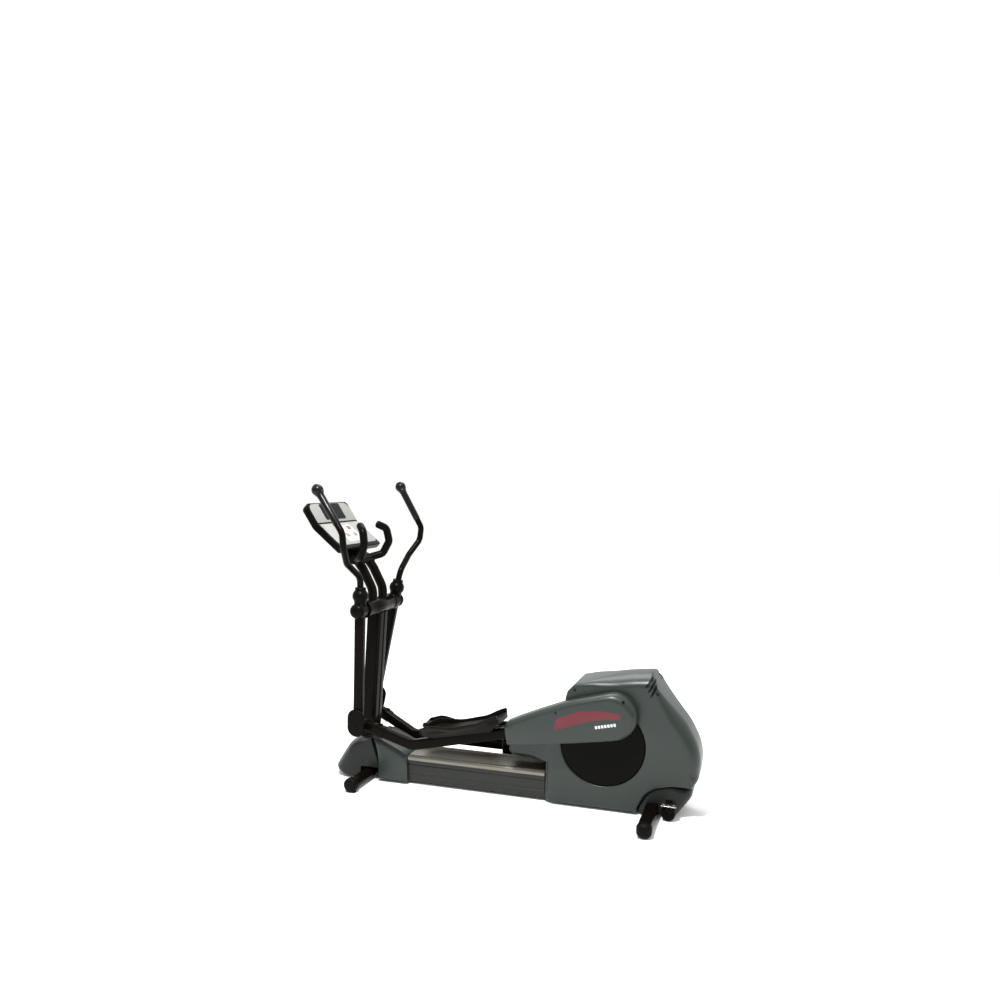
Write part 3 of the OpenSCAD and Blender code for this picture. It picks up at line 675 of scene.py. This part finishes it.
def console():
    """The bent console with its window and keys, the block behind it, its two necks and its two hand bars."""
    def into(a, b):
        """The way into the console from the face that runs from a to b."""
        run = (b - a).normalized()
        return Vector((-run.z, 0, run.x))

    from_lower, from_upper = into(CONSOLE_LOW, CONSOLE_BEND), into(CONSOLE_BEND, CONSOLE_TOP)
    low_back = CONSOLE_LOW + from_lower * CONSOLE_THICK
    top_back = CONSOLE_TOP + from_upper * CONSOLE_THICK
    mid_back = CONSOLE_BEND + (from_lower + from_upper) * CONSOLE_THICK * 0.51
    corners = [CONSOLE_LOW, CONSOLE_BEND, CONSOLE_TOP, top_back, mid_back, low_back]
    outline = rounded([(p.x, p.z) for p in corners], [0.006, 0.02, 0.006, 0.018, 0.06, 0.018], 0.004)
    shell = slab("console_shell", outline, -CONSOLE_HALF, CONSOLE_HALF, 0.006)
    mean = panel_frame(CONSOLE_TOP, CONSOLE_LOW)
    reach = (CONSOLE_LOW - CONSOLE_TOP).length
    trim = tile("trim", -0.008, reach + 0.008, CONSOLE_HALF, -0.12, 0.08, [0.046, 0.046, 0.036, 0.036], 0.002, mean)
    cut = shell.modifiers.new("corners", "BOOLEAN")
    cut.operation = "INTERSECT"
    cut.object = trim
    apply_modifiers(shell)
    bpy.data.objects.remove(trim)
    put(shell, "trim_black", "console_base")

    half = CONSOLE_HALF - EDGE
    faces = [tile("face", start, end, half, SUNK, 0.0014, [top, top, low, low], 0.0012, place)
             for start, end, top, low, place in ((EDGE, UPPER_LENGTH - GROOVE, 0.04, 0.004, UPPER),
                                                 (GROOVE, LOWER_LENGTH - LIP, 0.004, 0.03, LOWER))]
    put(join("console_faces", *faces), "console_silver", "console_face")
    put(tile("console_window", 0.01, 0.102, 0.098, SUNK, 0.003, 0.01, 0.001, UPPER), "window_black",
        "display_window")
    put(tile("console_keypad", 0.025, 0.143, 0.075, SUNK, 0.0022, 0.012, 0.0006, LOWER), "key_white", "key_panel")
    for row, column, name, surface in (
            (0.036, -0.038, "start", "key_green"), (0.036, 0.038, "stop", "key_red"),
            (0.086, -0.038, "up", "key_grey"), (0.086, 0.038, "down", "key_grey")):
        key = tile("cap_" + name, row, row + 0.022, 0.015, -0.001, 0.0046, 0.005, 0.0012, LOWER)
        put(move(key, Matrix.Translation((0, column, 0))), surface, "key_" + name, body=name + "_key")

    up_the_back = (mid_back - low_back).normalized() * 0.015
    edge_low, edge_high = low_back + up_the_back, mid_back - up_the_back
    block_side = rounded([(edge_low.x, edge_low.z), (edge_high.x, edge_high.z), (-0.89, 1.26), (-0.85, 1.206),
                          (-0.8, 1.16), (-0.752, 1.158), (-0.746, 1.191), (-0.797, 1.211)],
                         [0.002, 0.004, 0.08, 0.08, 0.03, 0.014, 0.014, 0.01], 0.005)
    put(slab("console_block", block_side, -0.0915, 0.0915, 0.012), "trim_black", "console_bracket")
    for name, sign in SIDES:
        neck = rounded([(-0.698, 0.055, 0.975), (-0.696, 0.055, 1.03), (-0.748, 0.055, 1.136),
                        (-0.784, 0.055, 1.183)], 0.11, 0.006, False)
        put(sided(tube("neck_" + name, neck, 0.024), sign), "frame_black", "console_tube_" + name)
        path = rounded([(-0.778, 0.07, 1.184), (-0.722, 0.118, 1.202), (-0.69, 0.136, 1.268), (-0.7, 0.128, 1.336),
                        (-0.738, 0.088, 1.362)], 0.034, 0.004, False)
        # the bar's end is rounded: how far before the end, and the radius there
        way, end = (path[-1] - path[-2]).normalized(), path.pop()
        radii = [0.02] * len(path)
        for back, radius in ((0.012, 0.02), (0.0095, 0.0198), (0.005, 0.018), (0.0018, 0.014), (0.0006, 0.009),
                             (0.0, 0.004)):
            path.append(end - way * back)
            radii.append(radius)
        put(sided(tube("hand_bar_" + name, path, radii), sign), "trim_black", "sensor_bar_" + name)


# ---- rear housing

HOUSING_HALF = 0.122
CHIN_HALF = 0.06
CHIN_END, CHIN_TAPER = 0.175, 0.117  # where the housing starts to widen, and over what length
COVER_RIM = 0.214  # the radius that the skin stays out of, round the crank cover
SEAM_FRONT, SEAM_REAR = Vector((0.345, 0, 0.5)), Vector((0.79, 0, 0.645))


def shell_width(x):
    """Half the housing's width: the chin is narrow, so that the pedals pass beside it."""
    return CHIN_HALF + (HOUSING_HALF - CHIN_HALF) * min(1, max(0, (x - CHIN_END) / CHIN_TAPER))


def housing_half():
    """The right half of the whole housing, open at the centre plane and round the crank cover."""
    side = rounded([(0.048, 0.212), (0.258, 0.2125), (0.252, 0.0145), (0.72, 0.0145), (0.722, 0.04), (0.76, 0.112),
                    (0.806, 0.146), (0.876, 0.164), (0.975, 0.166), (1.002, 0.205), (1.0095, 0.29), (0.992, 0.366),
                    (0.941, 0.462), (0.838, 0.583), (0.79, 0.645), (0.764, 0.6995), (0.641, 0.688), (0.492, 0.654),
                    (0.402, 0.628), (0.366, 0.59), (0.345, 0.5), (0.048, 0.292)],
                   [0.02, 0.002, 0.012, 0.012, 0.03, 0.07, 0.06, 0.08, 0.02, 0.05, 0.25, 0.25, 0.35, 0.3, 0.05,
                    0.012, 0.8, 0.8, 0.02, 0.03, 0.004, 0.03])
    # how far each point of the outline belongs to the rear, the hood above the seam, and the chin
    seam_slope = 0.326  # of the line from SEAM_FRONT to SEAM_REAR
    rear = [ramp(p.x, 0.74, 0.92) * ramp(p.y, 0.15, 0.24) for p in side]
    hood = [ramp(p.y - SEAM_FRONT.z - (p.x - SEAM_FRONT.x) * seam_slope, 0.0, 0.04) * ramp(p.x, 0.37, 0.62)
            for p in side]
    chin = [ramp(-p.x, -0.25, -0.1) for p in side]
    roll = [0.01 + max(0.045 * a, 0.046 * b, 0.016 * c) for a, b, c in zip(rear, hood, chin)]
    spread = [1 + max(0.2 * a, 1.0 * b) for a, b in zip(rear, hood)]
    rings = roll_over(side, 0.0002, [shell_width(p.x) for p in side], roll, 9, spread)
    # the flat of the side, from the rolled edge in to the crank cover's rim, and the rim's own turn inwards
    edge, steps = rings[-1], 10
    rim = [CRANK + (Vector((p.x, 0, p.z)) - CRANK).normalized() * COVER_RIM for p in edge]
    for k in range(1, steps + 1):
        between_two = [(p * (steps - k) + q * k) / steps for p, q in zip(edge, rim)]
        rings.append([Vector((p.x, shell_width(p.x), p.z)) for p in between_two])
    for radius, y in ((0.2105, HOUSING_HALF - 0.0008), (0.2085, HOUSING_HALF - 0.003), (0.2085, 0.112)):
        rings.append([CRANK + Vector((0, y, 0)) + (p - CRANK) * (radius / COVER_RIM) for p in rim])
    return skin("half", rings, caps=False)


def housing():
    """The shell's two sides, its hood above the seam, its slots and screws, and the skirt round the rear bar."""
    up = (SEAM_REAR - SEAM_FRONT).cross(Vector((0, 1, 0))).normalized()
    tops = []
    for name, sign in SIDES:
        half = housing_half()
        tops.append(sided(kept_side(half, "top", SEAM_FRONT, up), sign))
        lower = kept_side(half, "shell_" + name, SEAM_FRONT, -up)
        put(sided(lower, sign), "housing_grey", "housing_" + name)
        if name == "right":
            shell = surface_of(half)
            vents(shell)
            shell_screws(shell)
        bpy.data.objects.remove(half)
    put(join("hood", *tops), "housing_grey", "housing_hood")

    skirt = rounded([(0.7225, 0.015), (0.724, 0.04), (0.761, 0.11), (0.8065, 0.144), (0.876, 0.162),
                     (0.973, 0.164), (0.9775, 0.115), (0.9375, 0.056), (0.906, 0.015)],
                    [0.006, 0.03, 0.07, 0.06, 0.08, 0.02, 0.1, 0.1, 0.02])
    soft = [0.012 + 0.04 * ramp(p.x, 0.86, 0.96) for p in skirt]
    put(slab("arch_skirt", skirt, -0.1095, 0.1095, soft), "nose_grey", "rear_skirt")


def shell_screws(shell):
    """The screws that close the shell, each sunk square to the skin where it stands."""
    heads = []
    for x, z in ((0.405, 0.602), (0.798, 0.612)):
        (spot, out), = spots_on(shell, [Vector((x, 0, z))], Vector((0, 1, 0)))
        heads += [sided(screw("shell_screw", spot, out, 0.0066), sign) for _, sign in SIDES]
    put(join("shell_screws", *heads), bolt_black_and_slot_shade, "housing_screws")


# three slots down each rear corner of the hood: where each starts and ends in side view, and the way that they are
# laid on
VENTS = (((0.771, 0.69), (0.738, 0.632)), ((0.784, 0.68), (0.752, 0.612)), ((0.788, 0.658), (0.764, 0.59)))
VENT_WAY = Vector((0.13, 0.94, 0.26)).normalized()


def vents(shell):
    """Slots on the hood's rear corners: each a thin strip of painted shade, laid on the skin, with a lip behind it.
    """
    steps = 24
    for number, (start, end) in enumerate(VENTS):
        for piece, shift, width, lift, surface in (
                # the slot is no opening: a near-black strip laid on the skin, painted shade for the inside of a gap
                ("slot", 0.0, 0.0104, 0.0014, bolt_black_and_slot_shade),
                ("lip", 0.008, 0.0034, 0.0022, MATERIALS["housing_grey"])):
            rows = []
            for k in range(steps + 1):
                share = k / steps
                belly = sin(pi * share)
                x = start[0] + (end[0] - start[0]) * share + 0.005 * belly + shift
                z = start[1] + (end[1] - start[1]) * share
                thin = width * max(0.15, belly) ** 0.4
                rows.append([Vector((x + thin * j / 4, 0.1, z - thin * j / 8)) for j in range(-2, 3)])
            strip = laid_on("strip", shell, rows, lift, VENT_WAY)
            for name, sign in SIDES:
                twin = strip.copy()
                twin.data = strip.data.copy()
                twin.name = "vent_%s_%s_%d" % (piece, name, number)
                scene.collection.objects.link(twin)
                put(sided(twin, sign), surface)
            bpy.data.objects.remove(strip)


def cranks():
    """The turning cover on each side of the housing, with the seat of its crank pin."""
    disc = [(0.03, 0.106), (0.204, 0.106), (0.2048, 0.1075), (0.2048, 0.1175), (0.2025, 0.1196), (0.195, 0.1202),
            (0.043, 0.1203), (0.0, 0.1203)]
    for name, sign in SIDES:
        face = lathe("face", disc, CRANK, steps=128, sharp=25)
        seat = lathe("seat", [(0.024, 0.119), (0.024, 0.1226), (0.0225, 0.1234), (0.0, 0.1234)], pin_at("right"))
        if name == "left":
            move(seat, Matrix.Translation(pin_at("left") - pin_at("right")))
        put(sided(join("crank_cover_" + name, face, seat), sign), "trim_black", "crank_disc_" + name, body="crank")


# ---- swing arms and handlebars

ARM_LENGTH = (PIVOT - joint_at("left_lever_pivot")).length
ARM_PLANE = 0.19
FOOT = (0, 0, -ARM_LENGTH)
GRIP_BEND, GRIP_TIP = Vector((-0.004, 0.368, 0.4)), Vector((-0.158, 0.336, 0.59))


def ball(radius, along, start, end, step):
    """Part of a ball in a turned piece's profile: its middle is at along, and its angles are whole degrees."""
    turns = map(radians, range(start, end, step))
    return [(radius * cos(t), along + radius * sin(t)) for t in turns]


def arms():
    """The swing arms with their pivot caps and lower covers, and the handlebars in their sockets."""
    for name, sign in SIDES:
        def seat(piece, surface, node):
            """Puts a right-hand piece on this side's arm, which its node names end in."""
            put(sided(piece, sign, arm_frame(name)), surface, node + name, body=name + "_arm")

        post = tube("post", [(0, ARM_PLANE, 0), (0, ARM_PLANE, -ARM_LENGTH)], box_section(0.036, 0.05, 0.009))
        boss = lathe("boss", [(0.0151, 0.1585), (0.034, 0.1585), (0.0358, 0.16), (0.0358, 0.2085),
                              (0.0345, 0.2098), (0.0151, 0.2098)])
        low = lathe("low", [(0.0, 0.1724), (0.0345, 0.1724), (0.0358, 0.174), (0.0358, 0.207), (0.0, 0.2078)], FOOT)
        pin = lathe("pin", [(0.0, 0.1272), (0.013, 0.1272), (0.0139, 0.1282), (0.0139, 0.173)], FOOT)
        seat(join("swing_arm_" + name, post, boss, low, pin), "frame_black", "arm_")

        dome = [(0.0385, 0.2102), (0.039, 0.2115), (0.039, 0.2165), (0.0378, 0.2175), (0.0378, 0.219)]
        dome += [(0.0388, 0.22)]
        dome += [(0.0388 * cos(t), 0.2205 + 0.026 * sin(t)) for t in quarter_turn(10)[1:8]]
        dome += [(0.011, 0.2448), (0.01, 0.2436), (0.0, 0.2436)]
        seat(lathe("cap_dome_" + name, dome), "trim_black", "pivot_cap_")

        sleeve = [(0.031, 0.03), (0.031, 0.042), (0.0318, 0.046)] + ball(0.04, 0.074, -36, 46, 9)
        sleeve += [(0.0276, 0.104), (0.0276, 0.107), (0.0264, 0.108), (0.0264, 0.1095), (0.0278, 0.1105),
                   (0.0278, 0.1155), (0.0262, 0.1175), (0.0165, 0.1178)]
        seat(lathe("sleeve", sleeve, (0, ARM_PLANE, 0), (0, 0, 1)), "trim_black", "socket_")

        path = rounded([(0, 0.19, 0.096), (0, 0.196, 0.17), (-0.016, 0.3, 0.246), (0.002, 0.366, 0.33),
                        GRIP_BEND, GRIP_TIP], 0.06, 0.004, False)
        seat(tube("bar_" + name, path, 0.016), "frame_black", "handlebar_")

        run = GRIP_TIP - GRIP_BEND
        start = GRIP_BEND + run * 0.2
        length = (GRIP_TIP - start).length
        foam = [(0.0162, 0.0), (0.0174, 0.0006), (0.018, 0.0025), (0.018, length * 0.5), (0.0181, length - 0.04),
                (0.019, length - 0.03), (0.0205, length - 0.024), (0.0222, length - 0.022), (0.024, length - 0.019)]
        foam += ball(0.0289, length, -36, 60, 12) + [(0.013, length + 0.027), (0.0, length + 0.0282)]
        seat(lathe("foam_grip_" + name, foam, start, run), "foam_black", "grip_")

        oval = arc(0, 0.027, 0.048, 0, 180, 20) + arc(0, -0.027, 0.048, 180, 360, 20)
        puck = slab("puck", [Vector((x, z + 0.02 - ARM_LENGTH)) for x, z in oval], 0.2082, 0.2258, 0.008)
        dimple = screw("dimple", (0, 0.2259, -ARM_LENGTH), (0, 1, 0), 0.01, 0.0015)
        seat(join("joint_puck_" + name, puck, dimple), "trim_black", "joint_cover_")


# ---- pedal levers

LEVER_PLANE = 0.149
LEVER_HIGH = 0.054
FRONT_FALL = 0.4286  # how steeply a lever's front run falls
COVER_INNER, COVER_OUTER = 0.1262, 0.2
PEDAL_START = 0.06
PEDAL_LENGTH = 0.464


def levers():
    """The bent pedal levers, each with its cover and its pedal."""
    for name, sign in SIDES:
        path = rounded([(0, LEVER_PLANE, 0), (BEND.x, LEVER_PLANE, BEND.z), (LEVER_LENGTH, LEVER_PLANE, 0)],
                       0.09, 0.006, False)
        bar = tube("bar", path, box_section(0.04, LEVER_HIGH, 0.009))
        knuckle = lathe("knuckle", [(0.0141, 0.1292), (0.0325, 0.1292), (0.034, 0.1305), (0.034, 0.1675),
                                    (0.0325, 0.1688), (0.0141, 0.1688)])
        hub = lathe("hub", [(0.0, 0.1242), (0.0195, 0.1242), (0.02, 0.129), (0.037, 0.1292), (0.038, 0.1305),
                            (0.038, 0.1675), (0.037, 0.169), (0.0, 0.169)], (LEVER_LENGTH, 0, 0))
        clamp = tube("clamp", [(x, LEVER_PLANE, -x * FRONT_FALL) for x in (0.085, 0.125)],
                     box_section(0.046, 0.062, 0.012))
        slot = block("slot", (0.09, 0.14, -0.016), (0.118, 0.158, -0.005), 0.003)
        piece = join("lever_bar_" + name, bar, knuckle, hub, clamp, slot)
        put(sided(piece, sign, lever_frame(name)), "frame_black", "lever_" + name, body=name + "_lever")
        lever_cover(name, sign)
        pedal(name, sign)


def lever_cover(name, sign):
    """The leaf-shaped cover at a lever's rear, drawn from the crank pin, with its stripe, dashes and screws."""
    body = name + "_lever"
    place = rear_frame(name) @ Matrix.Translation((REAR_RUN, 0, 0))
    low = rounded([(-0.54, -0.05), (-0.42, -0.066), (-0.225, -0.082), (-0.06, -0.094)], [0, 0.4, 0.6, 0.6],
                  closed=False)[:-1]
    top = rounded([(-0.06, 0.126), (-0.15, 0.124), (-0.225, 0.116), (-0.34, 0.098), (-0.45, 0.078),
                   (-0.52, 0.062), (-0.537, 0.04)], [0, 0.4, 0.4, 0.6, 0.6, 0.02, 0], closed=False)
    leaf = filled(low + [Vector(p) for p in arc(0.01, 0.015, 0.112, -90, 90, 28)] + top, 0.03)
    roll = [0.016 + 0.012 * ramp(p.y, 0.0, 0.06) + 0.012 * ramp(p.x, -0.02, 0.08) for p in leaf]
    lining = roll_over(inset(leaf, [0.003] * len(leaf)), COVER_INNER, COVER_OUTER - 0.003, roll, 9)
    shell = skin("shell", lining[::-1] + roll_over(leaf, COVER_INNER, COVER_OUTER, roll, 9))
    put(sided(shell, sign, place), "housing_grey", "lever_cover_" + name, body=body)
    for k, (x, z) in enumerate(((-0.256, 0.078), (0.076, 0.086))):
        head = screw("cover_screw_%s_%d" % (name, k), (x, COVER_OUTER - 0.0005, z), (0, 1, 0), 0.0066)
        put(sided(head, sign, place), bolt_black_and_slot_shade, body=body)

    def print_on(label, outline):
        """A thin flat mark on the cover."""
        return slab(label, outline, COVER_OUTER - 0.0004, COVER_OUTER + 0.0005, 0.0002)

    stripe = rounded([(-0.284, -0.006), (-0.262, 0.05), (-0.142, 0.07), (-0.044, 0.06), (0.05, 0.03),
                      (0.049, 0.002), (-0.01, 0.014), (-0.098, 0.015), (-0.225, 0.0)],
                     [0.006, 0.03, 0.1, 0.2, 0.005, 0.005, 0.1, 0.1, 0.1], 0.004)
    put(sided(print_on("stripe_" + name, stripe), sign, place), stripe_red, body=body)
    bars = [print_on("bar", rounded([(x, -0.0245), (x, -0.01), (x + 0.011, -0.01), (x + 0.011, -0.0245)],
                                    0.002, 0.002)) for x in (-0.081 + 0.015 * k for k in range(7))]
    put(sided(join("dashes_" + name, *bars), sign, place), dash_white, body=body)


def between(x, table):
    """Smooth interpolation in a short table of (x, value)."""
    for (x0, a), (x1, b) in zip(table, table[1:]):
        if x <= x1:
            return a + (b - a) * ramp(x, x0, x1)
    return table[-1][1]


# along a pedal from its front end: the heights of its rim, its floor and its underside, and how far its sides
# draw in towards the underside
RIM = ((0, 0.04), (0.026, 0.066), (0.08, 0.076), (0.23, 0.054), (0.33, 0.057), (0.464, 0.082))
FLOOR = ((0.0, 0.038), (0.014, 0.044), (0.05, 0.032), (0.07, 0.03), (0.374, 0.03), (0.464, 0.052))
UNDER = ((0.0, 0.034), (0.03, 0.016), (0.1, 0.002), (0.4, 0.002), (0.464, 0.034))
FLARE = ((0.0, 0.01), (0.1, 0.03), (0.25, 0.022), (0.464, 0.012))


def pedal(name, sign):
    """A pedal's tray, with ribs outside its rear end, and the tread bars on its floor."""
    body = name + "_lever"
    place = rear_frame(name) @ Matrix.Translation((PEDAL_START, 0, LEVER_HIGH / 2))
    middle, wide, rim, steps = 0.147, 0.079, 0.009, 60
    lip = rim / 2
    rings = []
    for k in range(steps + 1):
        x = PEDAL_LENGTH * k / steps
        nose = 1 - max(0, 1 - x / 0.11) ** 2.4
        w = max(0.02, wide * nose ** 0.5)
        top, under = between(x, RIM), between(x, UNDER)
        flare = min(between(x, FLARE), w * 0.4)
        floor = min(between(x, FLOOR), top - 0.002)
        inner = max(0.004, w - rim)
        flat = max(0.002, inner - 0.012)
        half = [(0, under), (w - flare - 0.006, under)]
        half += [(w - flare * cos(t) ** 2, under + (top - under - 0.016) * sin(t) ** 1.5 + 0.001)
                 for t in quarter_turn(7)]
        half += arc(w - lip, top - lip, lip, 0, 180) + [(inner, (top + floor) / 2)]
        cove = min(0.012, (top - floor) / 2)
        half += [(flat + (inner - flat) * (1 - sin(t)), floor + cove * (1 - cos(t))) for t in quarter_turn(4)]
        half += [(0, floor)]
        rings.append([Vector((x, middle + y, z)) for y, z in half]
                     + [Vector((x, middle - y, z)) for y, z in half[-2:0:-1]])
    tray = skin("tray", rings)
    ribs = []
    for x in (0.408 + k * 0.011 for k in range(5)):
        for y in (middle - wide - 0.0004, middle + wide - 0.0026):
            ribs.append(block("rib", (x, y, 0.036), (x + 0.005, y + 0.003, between(x, RIM) - 0.01), 0.001, 2))
    put(sided(join("pedal_tray_" + name, tray, *ribs), sign, place), "pedal_black", "pedal_" + name, body=body)
    bars = []
    for x in (0.075 + k * 0.015 for k in range(24)):
        z = between(x, FLOOR)
        low, high = (x, middle - 0.052, z - 0.001), (x + 0.006, middle + 0.052, z + 0.0022)
        bars.append(block("bar", low, high, 0.0009, 2))
    put(sided(join("pedal_tread_" + name, *bars), sign, place), "rubber_black", body=body)


# ---- inside the housing

def inside():
    """The CAD pieces that are shown as they are."""
    for node, surface in (
            ("drive_frame", "frame_black"), ("drive_belt", "rubber_black"), ("flywheel", "iron"),
            ("crank_axle", "axle_steel"), ("drive_pulley", "pulley_silver"), ("pivot_axle", "axle_steel")):
        cad = frame["nodes"][node]
        cad.data.materials.clear()
        cad.data.materials.append(MATERIALS[surface])


# ---- floor and light

def studio():
    """A white floor out to the horizon, a white sky and two lamps."""
    far = 300
    corners = [(-far, -far, 0), (far, -far, 0), (far, far, 0), (-far, far, 0)]
    ground = build("floor", corners, [(0, 1, 2, 3)], outward=False)
    ground.data.materials.append(floor_white)
    # bright above and behind the machine, dimmer in front of it
    world = bpy.data.worlds.new("studio")
    scene.world = world
    world.use_nodes = True
    nodes, links = world.node_tree.nodes, world.node_tree.links
    way = nodes.new("ShaderNodeTexCoord")
    towards = nodes.new("ShaderNodeVectorMath")
    towards.operation = "DOT_PRODUCT"
    towards.inputs[1].default_value = (-0.1, 0.5, 0.86)
    links.new(way.outputs["Generated"], towards.inputs[0])
    bright = nodes.new("ShaderNodeMapRange")
    bright.interpolation_type = "SMOOTHSTEP"
    for socket, value in (("From Min", -0.45), ("From Max", 0.3), ("To Min", 0.13), ("To Max", 1.14)):
        bright.inputs[socket].default_value = value
    links.new(towards.outputs["Value"], bright.inputs["Value"])
    links.new(bright.outputs["Result"], nodes["Background"].inputs["Strength"])
    nodes["Background"].inputs["Color"].default_value = (1, 1, 1, 1)
    for name, where, aim, size, power in (
            ("key", (-0.6, 2.2, 4.6), (0, 0, 0.4), 2.4, 115),
            ("streak", (0.1, -1.85, 3.85), (-0.6, -0.2, 1.0), 0.35, 190)):
        lamp = bpy.data.objects.new(name, bpy.data.lights.new(name, "AREA"))
        scene.collection.objects.link(lamp)
        lamp.data.size = size
        lamp.data.energy = power
        lamp.location = where
        lamp.rotation_euler = (Vector(aim) - Vector(where)).to_track_quat("-Z", "Y").to_euler()
    scene.view_settings.view_transform = "Standard"


for make in (base, wheels, boots, mast, console, housing, cranks, arms, levers, inside, studio):
    make()
